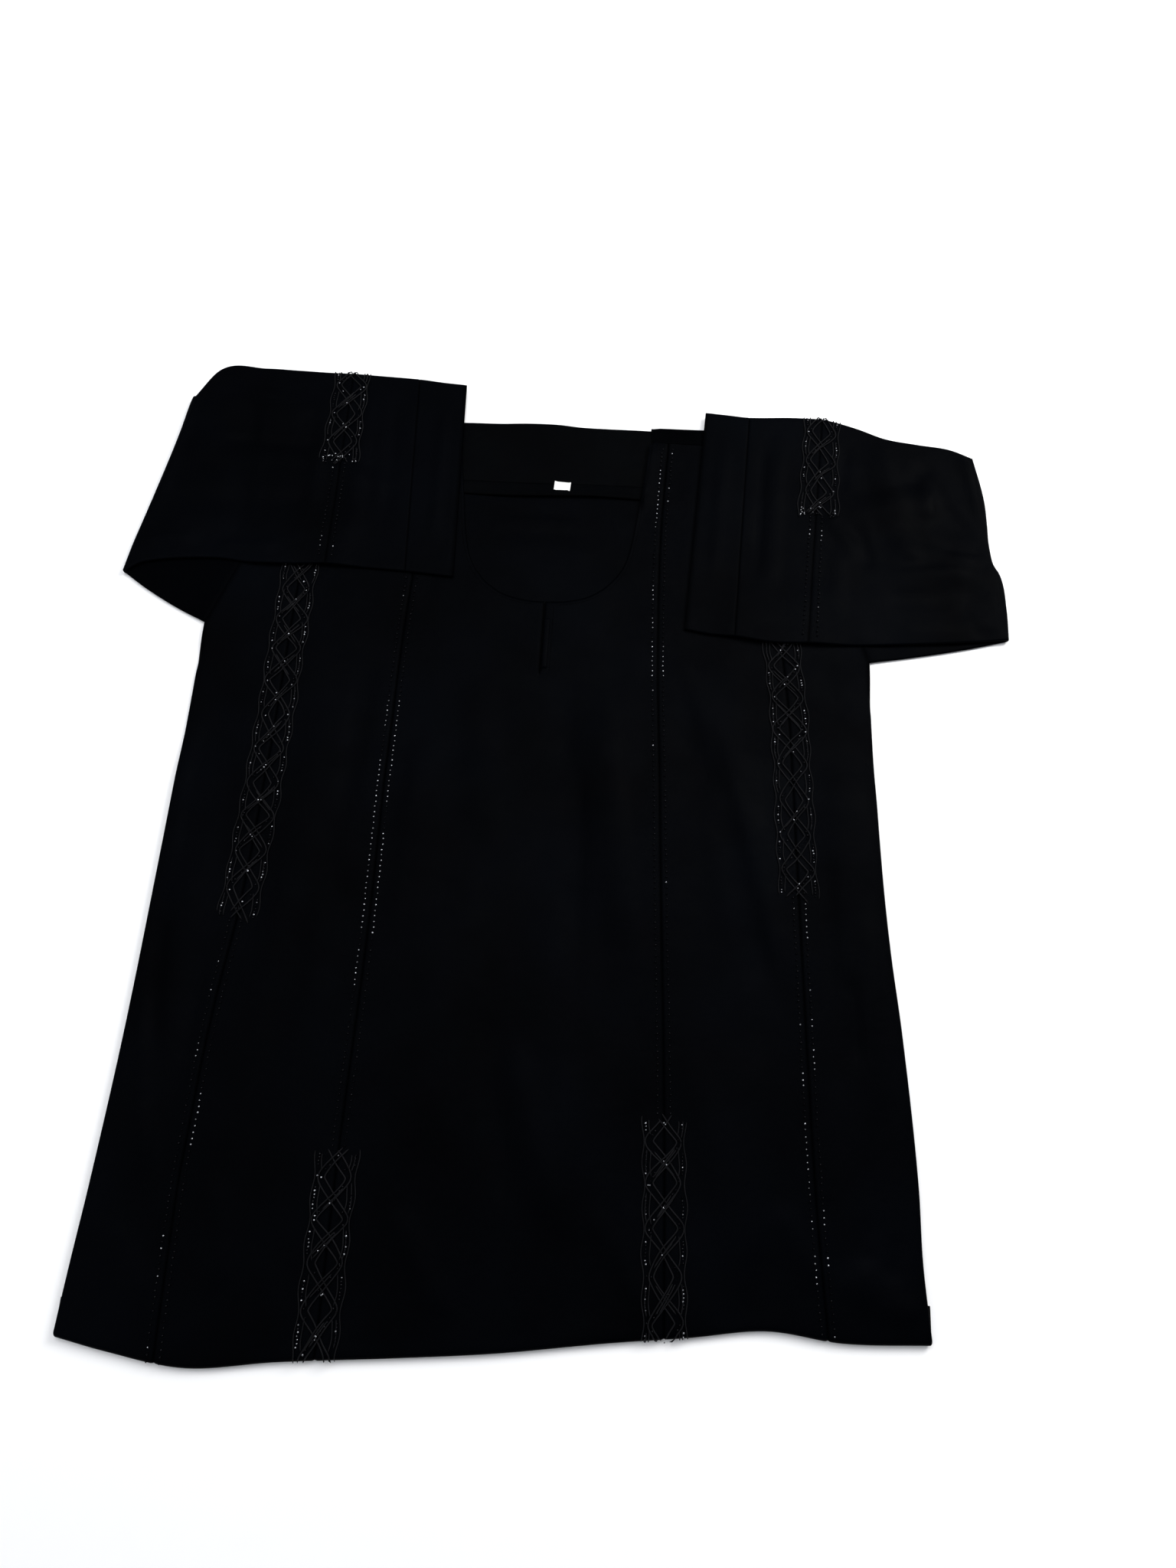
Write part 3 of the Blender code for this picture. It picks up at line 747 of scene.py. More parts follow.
# Creases: two ends, half width, height, lean to one side and bow
FRONT_RELIEF = Relief.of(
    0.32, 11,
    (60, 600, 86, 330, 45, 2.0), (160, 600, 216, 320, 38, 2.4), (30, 390, 52, 100, 42, 2.0),
    (-62, 430, -76, 120, 45, 1.6), (-203, 600, -216, 300, 38, 1.8), (-305, 430, -316, 90, 32, 1.8),
    (205, 270, 222, 70, 38, 1.8), (296, 560, 304, 230, 32, 2.4), (124, 640, 182, 470, 24, -1.9, 0.4),
    (176, 490, 218, 300, 20, -1.9, -0.3), (62, 600, 108, 300, 24, 2.4, 0.35),
    (44, 540, 57, 200, 17, -1.6, 0.3), (172, 600, 246, 280, 22, 2.6, -0.4),
    (0, 262, 60, 84, 26, 2.4, 0.3, 6), (-34, 290, 8, 100, 20, -1.7, -0.3),
    (160, 262, 212, 36, 24, 2.0, 0.2), (299, 330, 306, 240, 9, -2.2, 0.4),
    (280, 470, 282, 190, 18, -1.6, 0.2), (314, 400, 318, 190, 18, 2.2, -0.2),
    (308, 120, 306, 80, 11, -1.8), (333, 106, 331, 70, 9, -1.8), (286, 84, 350, 30, 26, 2.0),
    (-328, 360, -316, 220, 15, -1.6, 0.3), (-342, 300, -306, 110, 22, 2.2, 0.2),
    (-282, 330, -296, 60, 12, -1.5, 0.3), (-338, 560, -336, 380, 14, 1.5),
    (-200, 420, -214, 120, 22, -1.2), (-108, 560, -112, 330, 28, 1.5, -0.3),
    (-60, 620, -40, 420, 26, 1.2), (-170, 640, -176, 430, 17, -1.2), (20, 640, 38, 430, 16, -1.2, -0.2),
    (106, 220, 116, 40, 15, -1.2), (230, 130, 270, 60, 16, 1.3), (-246, 130, -230, 30, 20, 1.6),
    (-90, 110, -40, 20, 18, 1.3), (70, 120, 130, 36, 15, 1.0), (-330, 90, -290, 20, 22, 1.5),
    (102, 896, 96, 800, 12, 2.6, -0.3), (-104, 896, -96, 810, 12, 2.0), (150, 880, 148, 700, 14, 1.0))
BACK_RELIEF = Relief.of(
    0.05, 5,
    (-92, 798, 70, 803, 12, -2.0, 0.2), (-86, 780, 48, 787, 5, 1.3, 0.3), (-60, 760, 60, 748, 18, 0.8),
    (-80, 740, 60, 716, 22, -0.8), (-200, 560, -180, 200, 40, 0.5), (180, 500, 150, 160, 36, 0.5))
LEFT_RELIEF = Relief.of(
    0.3, 31,
    (-400, 860, -300, 830, 34, 1.6), (-405, 760, -320, 770, 26, 1.6),
    (-385, 925, -245, 905, 30, 2.4, 0.3), (-370, 870, -235, 864, 13, -1.5, 0.4),
    (-412, 812, -250, 808, 24, 1.5, -0.3), (-422, 743, -360, 745, 12, 1.6),
    (-345, 738, -270, 741, 10, 1.3), (-330, 950, -318, 740, 22, -1.1, 0.4),
    (-400, 930, -412, 780, 16, 1.4), (-250, 950, -250, 760, 12, 1.0), (-206, 950, -204, 740, 16, 1.2),
    (-176, 940, -170, 760, 12, -1.0), (-122, 940, -118, 740, 11, 1.0), (-240, 840, -160, 815, 16, 0.9))
RIGHT_RELIEF = Relief.of(
    0.34, 32,
    (430, 840, 300, 800, 30, 2.5), (440, 742, 350, 764, 26, 2.0), (384, 880, 440, 776, 24, -2.0, 0.4, 6),
    (452, 768, 400, 771, 9, -1.2, 0.4), (460, 738, 340, 736, 20, 1.5, -0.3, 4),
    (352, 752, 412, 754, 15, -1.3), (340, 709, 420, 713, 18, -1.3), (460, 726, 440, 672, 28, 1.6),
    (341, 905, 374, 740, 24, 2.2, 0.2), (318, 800, 332, 740, 13, -1.8, 0.3),
    (286, 812, 316, 756, 14, 1.7), (394, 868, 392, 800, 15, 2.0), (430, 895, 455, 800, 14, 1.8),
    (350, 676, 440, 680, 20, 1.1), (240, 910, 228, 700, 15, 1.3, 0.3), (222, 900, 214, 720, 8, -1.2),
    (182, 910, 168, 700, 11, 1.0), (300, 770, 292, 680, 14, 1.2), (310, 900, 300, 830, 12, -1.1))
NECK_BACK = Curve(((-101, 0.0), (-62, 0.6), (-32, 2.4), (2, 2.2), (24, 0.2), (60, -0.6), (101, -1.0)))
# How far the sleeves' side folds stand out, by height up the cloak
LEFT_FOLD_OUT = Curve(((704, -1.0), (736, 0.0), (777, -1.3), (801, -2.2), (854, -3.6), (914, 0.5),
                       (922, 0.0)))
RIGHT_FOLD_OUT = Curve(((668, 0.0), (705, 4.2), (745, 4.0), (756, -1.0), (764, -3.2), (800, 0.4), (831, 2.6),
                        (870, 0.0), (891, -3.3)))
# Inset and level of each line round the rim of the layers turned under
TURNED_RIM = ((1.0, 1.6), (0.25, 1.3), (0.0, 0.8), (0.4, 0.35), (1.4, 0.08), (3.0, 0.02), (6.0, 0.0))
TURNED_GROOVE = 1.65
# Rows of beads beside the seams: seam, first and last distance, and spans given the painted glint on the left
# and right
SEAM_BEADS = (
    ("inner_left", 176, 736, ((194, 200), (314, 342), (376, 544), (560, 598)), ((312, 424), (448, 552))),
    ("inner_right", 8, 694, ((30, 52), (60, 104), (152, 156), (172, 190), (206, 221), (232, 278), (286, 292),
                             (346, 350)), ((8, 14), (56, 60), (72, 76), (240, 276), (484, 489))),
    ("outer_left", 5, 376, ((40, 44), (65, 69), (115, 132), (275, 280), (285, 291), (306, 310), (360, 365)),
     ((64, 68), (156, 201), (318, 322))),
    ("outer_right", 3, 376, ((16, 24), (68, 72), (122, 126), (162, 182), (206, 248), (257, 272), (286, 300),
                             (310, 342)),
     ((12, 50), (62, 66), (88, 98), (118, 128), (145, 166), (274, 290), (314, 322), (372, 376))),
    ("sleeve_left", 116, 232, ((120, 124), (202, 222)), ((214, 220),)),
    ("sleeve_right", 122, 262, ((136, 146),), ((134, 150), (226, 232))))
BEAD_SEED = 21
BEAD_SIZES = {"Length": 0.0016, "Width": 0.0016, "Height": 0.0015, "Unevenness": 0.2}
STITCH_SIZES = {"Length": 0.0023, "Width": 0.0005, "Height": 0.0005, "Unevenness": 0.06}
# Cuts of a sleeve and a cuff, all round
SLEEVE_CUT, CUFF_CUT = (546, 330), (546, 140)


@dataclass
class Body:
    """Front of the cloak in five panels, from the flap under the bottom fold to the shoulders."""

    sheets: Sheets
    row_step: float = 5.5
    column_step: float = 5.5
    flap: float = 26.0
    seam_dip: float = 0.75
    relief: Relief = FRONT_RELIEF

    def cover(self, x: Array, y: Array) -> Array:
        """Share to which the folded sleeves press on the front at a place.

        Args:
            x: places across the cloak.
            y: places up the cloak.

        Returns:
            The share at each place.
        """
        left = ease((-x - 80) / 20) * ease((y - 690) / 20)
        right = ease((x - 125) / 20) * ease((y - 632) / 20)
        return np.clip(left + right, 0, 1)

    def top(self, x: Array, y: Array) -> Array:
        """Height of the front's upper face away from its seams.

        Args:
            x: places across the cloak.
            y: places up the cloak.

        Returns:
            The height over the surface that the cloak lies on.
        """
        lift = self.relief.lift(x, y)
        lift = np.where(lift > 0, lift * (1 - self.cover(x, y)), np.maximum(lift, -1.2))
        side = np.minimum(x - LEFT.edge(y), RIGHT.edge(y) - x)
        fade = ease((y - BOTTOM_FOLD.at(x) - 3) / 26) * ease((side - 1) / 13)
        return turned_base(y) + BODY_HEIGHT + lift * fade

    def rows(self) -> list[tuple[str, float]]:
        """List the rows of the front.

        Returns:
            Distances of the flap under the fold, angles round the fold and shares of the height above it.
        """
        count = round(SHOULDER_SEAM / self.row_step)
        rows = [("flap", reach) for reach in (self.flap, 18.0, 9.0)]
        rows += [("turn", angle) for angle in range(180, 0, -15)]
        shares = [*np.linspace(0, 1, count + 1)[:-1], *(1 - gap / 800 for gap in (3.4, 1.9, 0.8)), 1.0]
        return rows + [("flat", share) for share in shares]

    def height(self, x: Array | float, row: tuple[str, float], top: Array | float = SHOULDER_SEAM) -> Array:
        """Distance up the cloak of one row at x, for columns that end at top."""
        start = BOTTOM_FOLD.at(x) + FOLD_TURN
        return start + (top - start) * (row[1] if row[0] == "flat" else 0.0)

    def seam(self, curve: Curve, row: tuple[str, float]) -> float:
        """Where a seam crosses one row."""
        low = curve.at(min(place for place, _ in curve.rows))
        return float(curve.at(self.height(low, row)))

    def points(self, x: Array, row: tuple[str, float], depth: Array,
               top: Array | float = SHOULDER_SEAM) -> Array:
        """Points of one row.

        Args:
            x: places across the cloak.
            row: the row's kind and value.
            depth: distance below the upper face at each place.
            top: height at which each column ends.

        Returns:
            One point for each place.
        """
        fold = BOTTOM_FOLD.at(x)
        kind, value = row
        if kind == "flat":
            y = self.height(x, row, top)
            return xyz(x, y, self.top(x, y) - depth)
        if kind == "turn":
            angle, reach = math.radians(value), FOLD_TURN - depth
            return xyz(x, fold + FOLD_TURN - reach * math.sin(angle), FOLD_TURN + reach * math.cos(angle))
        return xyz(x, fold + FOLD_TURN + value, depth)

    def pair(self, x: Array, row: tuple[str, float], gap: Array, phase: float,
             top: Array | float = SHOULDER_SEAM) -> tuple[Array, Array, Array]:
        """Outer and inner points of one row, with the seams' dips and puckers.

        Args:
            x: places across the cloak.
            row: the row's kind and value.
            gap: distance of each place from the nearest seam or edge.
            phase: where the seam's puckers start.
            top: height at which each column ends.

        Returns:
            Outer points, inner points and nearness to a seam, which is also the share of painted shade along
            the seam.
        """
        along = self.height(x, row, top)
        pucker = np.sin(along / 6.3 + phase) * np.sin(along / 17.0 + phase * 2)
        # Nearness to the seam also darkens the cloth there as painted shade.
        dip = near_seam(gap)
        ripple = 0.22 * pucker * np.exp(-gap / 7) * (1 - dip)
        outer = self.points(x, row, self.seam_dip * dip - ripple, top)
        inner = self.points(x, row, CLOTH_WALL + 0.25 * dip - ripple * 0.5, top)
        return outer, inner, dip

    def centre(self) -> Piece:
        """Make the centre front with its scooped neck and slit.

        Returns:
            The panel.
        """
        rows, made = self.rows(), []
        weights = 1 - spread(140.0, self.column_step, last=(0.0, 0.8, 1.8, 3.2))[::-1]
        weights = np.unique(np.round(weights, 6))
        on_neck = weights <= NECK_SHARE
        neck_x = np.where(on_neck, NECK_X.at(weights), 0.0)
        neck_y = np.where(on_neck, NECK_Y.at(weights), SHOULDER_SEAM)
        for row in rows:
            share = row[1] if row[0] == "flat" else 0.0
            lines = []
            for half in (LEFT, RIGHT):
                seam = abs(self.seam(half.inner, row)) - SEAM_INSET
                last = abs(self.seam(half.inner, ("flat", 1.0))) - SEAM_INSET
                shoulder = NECK_SIDE + (last - NECK_SIDE) * (weights - NECK_SHARE) / 0.1
                at_top = np.where(on_neck, neck_x, shoulder) / last
                place = ((1 - share) * weights + share * at_top) * seam
                place[0] = SLIT_HALF
                place = np.maximum.accumulate(place)
                gap = np.minimum(seam - place, np.where(on_neck, (1 - share) * (neck_y - 20), 99.0))
                height = self.height(half.sign * place, row, neck_y)
                gap = np.where(height > SLIT_LOW, np.minimum(gap, place - SLIT_HALF + 0.1), gap)
                lines.append(self.pair(half.sign * place, row, gap, 1.0 + half.sign, neck_y))
            made.append([np.concatenate([left[::-1], right]) for left, right in zip(*lines)])
        outer, inner, edge = (np.array(part) for part in zip(*made))
        keep = np.ones((len(rows) - 1, outer.shape[1] - 1), bool)
        middle = len(weights) - 1
        keep[:, middle] = outer[1:, middle, 1] <= SLIT_LOW + 2
        return self.sheets.wall("cloth_centre_front", CREPE, outer, inner, edge, keep)

    def side_front(self, name: str, half: Half) -> Piece:
        """Make the panel between one half's inner and outer seams.

        Args:
            name: the panel's name.
            half: the half of the cloak that it belongs to.

        Returns:
            The panel.
        """
        shares, made = spread(125.0, self.column_step), []
        for row in self.rows():
            inner = self.seam(half.inner, row) + half.sign * SEAM_INSET
            outer = self.seam(half.outer, row) - half.sign * SEAM_INSET
            gap = np.minimum(shares, 1 - shares) * abs(outer - inner)
            made.append(self.pair(inner + (outer - inner) * shares, row, gap, 2.0 + half.sign))
        return self.sheets.wall(name, CREPE, *zip(*made))

    def turned_edge(self, share: float, depth: float) -> Array:
        """Work out the side edge's turn and the drop below it.

        Args:
            share: how much of a quarter turn the edge makes.
            depth: distance inside the wall.

        Returns:
            Rows of the distance out and the distance down.
        """
        steps, places = 7, []
        for step in range(steps):
            along = SIDE_TURN * math.pi / 2 * step / (steps - 1)
            if share < 0.01:
                places.append((along, depth))
                continue
            bend = share / SIDE_TURN
            angle = along * bend
            places.append((math.sin(angle) / bend - depth * math.sin(angle),
                           (1 - math.cos(angle)) / bend + depth * math.cos(angle)))
        angle = share * math.pi / 2
        out, down = places[-1]
        places.append((out + SIDE_TURN * math.cos(angle), down + SIDE_TURN * math.sin(angle)))
        return np.array(places)

    def side_panel(self, name: str, half: Half) -> Piece:
        """Make one side panel, turned down at the side edge.

        Args:
            name: the panel's name.
            half: the half of the cloak that it belongs to.

        Returns:
            The panel.
        """
        shares, made = spread(84.0, self.column_step, last=(0.0,))[:-1], []
        low = half.side.at(half.side.rows[0][0])
        for row in self.rows():
            height = float(self.height(float(half.edge(float(self.height(low, row)))), row))
            share = float(half.turn(height))
            seam = self.seam(half.outer, row) + half.sign * SEAM_INSET
            start = float(half.edge(height)) - half.sign * (self.turned_edge(share, 0.0)[-1][0] + 0.1)
            x = seam + (start - seam) * shares
            turned = []
            for depth in (0.0, CLOTH_WALL):
                out, down = self.turned_edge(share, depth).T
                turned.append(self.points(start + half.sign * out, row, down))
            # Painted shade, growing darker round the side edge's turn down.
            turned.append(np.linspace(0.1, 0.8, len(turned[0])))
            flat = self.pair(x, row, np.abs(x - seam), 3.0 + half.sign)
            made.append([np.concatenate(parts) for parts in zip(flat, turned)])
        return self.sheets.wall(name, CREPE, *zip(*made))

    def build(self) -> None:
        declare, below = self.sheets.declare, ("back_panel",)
        declare(self.centre(), "centre_front", Slot.CREPE, (286, 925), below)
        for name, half, front, panel in (("left", LEFT, (130, 945), (110, 945)),
                                         ("right", RIGHT, (150, 925), (110, 925))):
            piece = self.side_front(f"cloth_side_front_{name}", half)
            declare(piece, f"side_front_{name}", Slot.CREPE, front, below)
            piece = self.side_panel(f"cloth_side_panel_{name}", half)
            declare(piece, f"side_panel_{name}", Slot.CREPE, panel, below)


@dataclass
class Back:
    """Back panel, the facing inside its neck, and the layers turned under it."""

    sheets: Sheets
    step: float = 7.0
    facing_hem: float = 16.0
    facing_high: float = 2.35
    facing_under: float = 1.5
    relief: Relief = BACK_RELIEF

    def panel(self) -> Piece:
        """Make the back, which turns over the shoulders to the front's seam.

        Returns:
            The panel.
        """
        turn = BODY_HEIGHT / 2
        inside = np.linspace(0, 1, 22)
        outside = spread(150.0, self.step, first=(0.0, 1.0, 3.0), last=(0.0, 1.0, 3.0))[1:]
        shares = np.concatenate([-(1 + outside)[::-1], -inside[::-1][:-1], inside, 1 + outside])
        heights = list(np.arange(self.step, NECK_TOP - turn - 3, self.step)) + [NECK_TOP - turn - 1.5]
        rows = [("flat", y) for y in (0.0, *heights)]
        flat_count = len(rows)
        rows += [("turn", angle) for angle in range(0, 181, 20)] + [("end", SHOULDER_SEAM + TURNED_GAP)]
        grids = ([], [])
        for kind, value in rows:
            y0 = NECK_TOP - turn if kind == "turn" else value
            x = np.empty(len(shares))
            for half in (LEFT, RIGHT):
                mine = np.sign(shares) * half.sign >= 0
                size = np.abs(shares[mine])
                inset = 3.0 * half.turn(y0 - 60) + 0.3
                neck = NECK_HALF + (NECK_TOP - y0) * NECK_SPREAD
                edge = abs(half.edge(y0)) - inset
                x[mine] = half.sign * np.where(size <= 1, size * neck, neck + (size - 1) * (edge - neck))
            for grid, depth in zip(grids, (0.0, CLOTH_WALL + 0.2)):
                start = BOTTOM_FOLD.at(x) + 3.5
                y = start + (60 - start) * y0 / 60 if y0 < 60 else np.full(len(x), y0)
                fade = ease((NECK_TOP - 8 - y) / 20) * ease((y - 30) / 30)
                z = turned_base(y) + depth + np.maximum(self.relief.lift(x, y), 0) * fade
                if kind == "turn":
                    angle = math.radians(value)
                    y = y + (turn - depth) * math.sin(angle)
                    z = turn - (turn - depth) * math.cos(angle)
                if kind == "end":
                    z = BODY_HEIGHT - depth
                near = ease((y - 850) / 50) * (np.abs(x) <= NECK_HALF + 6)
                grid.append(xyz(x, y + NECK_BACK.at(x) * near, z))
        outer, inner = (np.array(grid) for grid in grids)
        keep = np.ones((len(rows) - 1, len(shares) - 1), bool)
        side = len(outside)
        keep[flat_count:, side:-side] = False
        edge = np.zeros(outer.shape[:2])
        # Painted shade on the last rows, where the back tucks in at the shoulder seam.
        edge[-3:] = 0.6
        return self.sheets.wall("cloth_back", CREPE, outer, inner, edge, keep)

    def facing(self) -> Piece:
        """Make the facing, whose lower edge is hemmed and stands off the back a little.

        Returns:
            The facing.
        """
        width, high, hem = NECK_HALF + 12, NECK_TOP - 3.0, self.facing_hem
        x = np.linspace(-width, width, 56)
        near_hem = [0, 0.6, 1.4, 3, 6, 10, hem - 1.6, hem - 0.6, hem, hem + 1]
        outer, inner, edge = [], [], []
        for up in (*near_hem, *np.linspace(hem + 5, high - FACING_LOW, 16)):
            y = FACING_LOW + up + 1.4 * np.sin(x / 31.0) * (1 - ease(up / 30))
            y = y + NECK_BACK.at(x) * ease((y - 850) / 50)
            lift = 2.4 * (1 - ease(up / 15)) * (0.55 + 0.45 * np.sin(x / 38.0 + 1.2))
            lift = (lift + 0.35 * np.sin(x / 27 + up / 19) ** 2) * (1 - ease((np.abs(x) - 88) / 16))
            groove = 0.35 * math.exp(-(((up - hem) / 1.1) ** 2))
            crown = 0.35 if up < hem - 0.5 else 0.0
            tuck = 0.55 * float(near_seam(up, 1.4))
            outer.append(xyz(x, y, self.facing_high + lift + crown - groove - tuck))
            inner.append(xyz(x, y, self.facing_under + lift))
            # Painted shade along the facing's lower edge and in its hem's stitch groove.
            edge.append(np.full(len(x), max(math.exp(-up / 1.5), groove)))
        return self.sheets.wall("cloth_neck_facing", LINING, outer, inner, edge)

    def rimmed(self, low: float, count: int, insets: Array, levels: Array) -> tuple[Array, Array, Array]:
        """Lay lines from one rim to the other, close together at both.

        Args:
            low: share of the first rim, where the last is at 1.
            count: number of lines evenly spaced.
            insets: distances of the rim's lines from the edge.
            levels: heights of the rim's lines.

        Returns:
            The share, inset and level of each line.
        """
        rim, between = len(insets), np.linspace(low, 1, count)[1:-1]
        shares = np.concatenate([np.full(rim, low), between, np.ones(rim)])
        inset, level = (np.concatenate([part, np.full(count - 2, part[-1]), part[::-1]])
                        for part in (insets, levels))
        return shares, inset, level

    def turned_under(self) -> Piece:
        """Make the two layers of the length turned under, with a groove between them round the edge.

        Returns:
            The two layers as one rounded form.
        """
        grids = []
        for upper in (False, True):
            insets, levels = np.array(TURNED_RIM).T
            levels = TURNED_HEIGHT - levels * 1.2 if upper else levels
            levels[0] = TURNED_GROOVE
            start = 8.5 if upper else 36.0
            shares_y, inset_y, level_y = self.rimmed(0.0, 66, insets, levels)
            shares_x, inset_x, level_x = self.rimmed(-1.0, 72, insets, levels)
            grid = []
            for share, inset, level in zip(shares_y, inset_y, level_y):
                y0 = start + inset + share * (TURNED_END - start - 2 * inset)
                y0 = y0 if share < 1 else TURNED_END - inset
                narrow = 6 * (1 - ease(y0 / 60))
                left, right = (abs(half.edge(y0)) - 9 - narrow for half in (LEFT, RIGHT))
                x = np.where(shares_x < 0, shares_x * left, shares_x * right)
                x = x + inset_x * (shares_x <= -1) - inset_x * (shares_x >= 1)
                bend = BOTTOM_FOLD.at(x) * (1 - share) - 5 * np.abs(shares_x) ** 3 * share
                sway = 1.5 * np.sin(x / 47.0 + (2.0 if upper else 0.0)) * share
                wave = 0.5 * np.maximum(0, np.sin(x / 58 + y0 / 300)) ** 4 * (level_x == 0) * (level == 0)
                z = np.minimum(level_x, level) if upper else np.maximum(level_x, level) + wave
                grid.append(xyz(x, y0 + bend + sway, z))
            grids.append(grid)
        return self.sheets.wall("cloth_turned_under", CREPE, grids[1], grids[0])

    def build(self) -> None:
        declare = self.sheets.declare
        declare(self.panel(), "back_panel", Slot.CREPE, (712, 955), ("turned_under_layers",))
        declare(self.facing(), "back_neck_facing", Slot.FACING, (226, 90), ("back_panel",), Hold.LAID)
        declare(self.turned_under(), "turned_under_layers", Slot.CREPE, (690, 450))


@dataclass
class Sleeve:
    """One sleeve with its cuff, as a flattened tube that is folded in over the chest."""

    sheets: Sheets
    name: str
    half: Half
    relief: Relief
    fold_out: Curve
    braid_low: float
    step: float = 4.5
    spans: int = 50

    def lift(self, x: Array, y: Array) -> Array:
        """Height of the folded part's underside, more where it lies on a braid.

        Args:
            x: places across the cloak.
            y: places up the cloak.

        Returns:
            The height at each place.
        """
        near = 1 - ease((np.abs(x - self.half.outer.at(y)) - BRAID_HALF - 14) / 34)
        low = 1 - ease((y - self.braid_low - 12) / 40)
        return SLEEVE_LIFT + 2.3 * near * low

    def top(self, x: Array, y: Array) -> Array:
        """Height of the folded part's upper face."""
        return self.lift(x, y) + SLEEVE_HEIGHT + self.relief.lift(x, y)

    def lengths(self, sections: Rows) -> Array:
        """Distance of each section's middle from the first one's."""
        table = np.array(sections, float)
        return chain_lengths(table[:, :2] / 2 + table[:, 2:] / 2)

    def chain(self, sections: Rows, extra: tuple[float, ...] = ()) -> Array:
        """Sections at even steps along a chain of them.

        Args:
            sections: low and top corners of each section.
            extra: distances at which closer sections are wanted.

        Returns:
            One row of low x, low y, top x and top y for each step, with its distance.
        """
        table, along = np.array(sections, float), self.lengths(sections)
        count = max(2, round(along[-1] / self.step))
        places = list(np.linspace(0, along[-1], count + 1))
        for place in extra:
            places += [place + gap for gap in (-3, -1.4, -0.7, 0, 0.7, 1.4, 3)]
        places = np.unique(np.round(np.clip(places, 0, along[-1]), 3))
        columns = [Curve(tuple(zip(along, table[:, k]))).at(places) for k in range(4)]
        return np.stack([*columns, places], axis=-1)

    def ring(self, section: Array, stage: str | float, height: float, depth: float, dent: float) -> Array:
        """Points round one section of the flattened tube.

        Args:
            section: low x, low y, top x and top y.
            stage: under the fold, over it, or its angle in degrees.
            height: thickness of the flattened tube.
            depth: distance inside its outer face.
            dent: how far a seam or hem draws the cloth in here.

        Returns:
            The ring's points.
        """
        low, top = section[:2], section[2:4]
        width = float(np.linalg.norm(top - low))
        along = (top - low) / width
        outward = self.half.sign * np.array([along[1], -along[0]])
        half = height / 2
        level = half - depth - dent
        start, end = half, width - half
        flat = np.linspace(start, end, self.spans + 1)
        bend = np.radians(np.arange(22.5, 180, 22.5))
        round_end, side = (half - depth) * np.sin(bend), np.full(len(flat), level)
        distance = np.concatenate([flat, end + round_end, flat[::-1], start - round_end])
        rise = np.concatenate([-side, -level * np.cos(bend), side, level * np.cos(bend)])
        at = low + np.outer(distance, along)
        if stage == "under":
            return np.column_stack([at, half + rise])
        if stage == "over":
            rise = -rise
            upper = np.clip(rise / half * 0.5 + 0.5, 0, 1)
            edge = ease(np.minimum(distance, width - distance) / 12)
            lift = self.relief.lift(at[:, 0], at[:, 1]) * upper * (0.15 + 0.85 * edge)
            return np.column_stack([at, self.lift(at[:, 0], at[:, 1]) + half + rise + lift])
        middle = (SLEEVE_LIFT + SLEEVE_HEIGHT) / 2
        reach = middle - half
        angle = math.radians(stage)
        out = (reach - rise) * math.sin(angle) + self.fold_out.at(at[:, 1]) * math.sin(angle) ** 2
        return np.column_stack([at + np.outer(out, outward), middle - (reach - rise) * math.cos(angle)])

    def arm(self) -> Piece:
        """Make the sleeve from the armhole round its fold to the cuff's seam.

        Returns:
            The sleeve.
        """
        half, grids = self.half, ([], [])
        under = self.chain((*half.under, half.fold))
        sections = (half.fold, *half.over)
        length = float(self.chain(sections)[-1][4])
        over = self.chain(sections, (length,))
        aside = half.sign * np.array([1.0, 0.0, 1.0, 0.0])
        for grid, depth in zip(grids, (0.0, CLOTH_WALL)):
            tucked = self.ring(under[0][:4] - 2.4 * aside, "under", 1.1, depth * 0.3, 0.0)
            grid.append(tucked + (0, 0, SLEEVE_WALL_START))
            for k, section in enumerate(under):
                height = SLEEVE_HEIGHT + (BODY_HEIGHT - SLEEVE_HEIGHT) * float(1 - ease(section[4] / 30))
                moved = section[:4] + 0.3 * aside * (k == 0)
                grid.append(self.ring(moved, "under", height, depth, 0.0))
            for angle in range(0, 181, 15):
                grid.append(self.ring(np.array(half.fold, float), float(angle), SLEEVE_HEIGHT, depth, 0.0))
            for section in over[1:]:
                dent = 0.5 * float(near_seam(length - section[4])) * (1 - depth / 2)
                grid.append(self.ring(section[:4], "over", SLEEVE_HEIGHT, depth, dent))
        edge = np.zeros(np.shape(grids[0])[:2])
        # Painted shade near the cuff's seam.
        edge[-(len(over) - 1):] = 0.85 * near_seam(length - over[1:, 4])[:, None]
        # Painted shadow on the part under the fold, deeper on the left sleeve, where the folded sleeve shades
        # it.
        edge[:len(under)] = 0.65 if half.sign < 0 else 0.3
        return self.sheets.wall(f"cloth_sleeve_{self.name}", CREPE, *grids, edge, tube=True)

    def band(self) -> Piece:
        """Make the cuff from its seam to the open end, with the groove of its hem's stitches.

        Returns:
            The cuff.
        """
        hem = float(self.lengths(self.half.cuff)[2])
        cuff = self.chain(self.half.cuff, (0.0, hem))
        grids, edge = ([], []), []
        for section in cuff:
            groove = 0.55 * math.exp(-(((section[4] - hem) / 0.9) ** 2))
            seam = 0.5 * float(near_seam(section[4])) if section[4] < 3 else 0.0
            end = 0.45 * float(near_seam(cuff[-1][4] - section[4], 1.5))
            for grid, depth in zip(grids, (0.0, CLOTH_WALL)):
                dent = (groove + seam + end) * (1 - depth * 0.75)
                grid.append(self.ring(section[:4], "over", SLEEVE_HEIGHT, depth, dent))
            # Painted shade in the hem's stitch groove, at the seam and at the open end.
            edge.append(np.full(len(grids[0][0]), min(1.0, groove * 1.5 + 1.7 * seam + 2 * end)))
        return self.sheets.wall(f"cloth_cuff_{self.name}", CREPE, *grids, edge, tube=True)

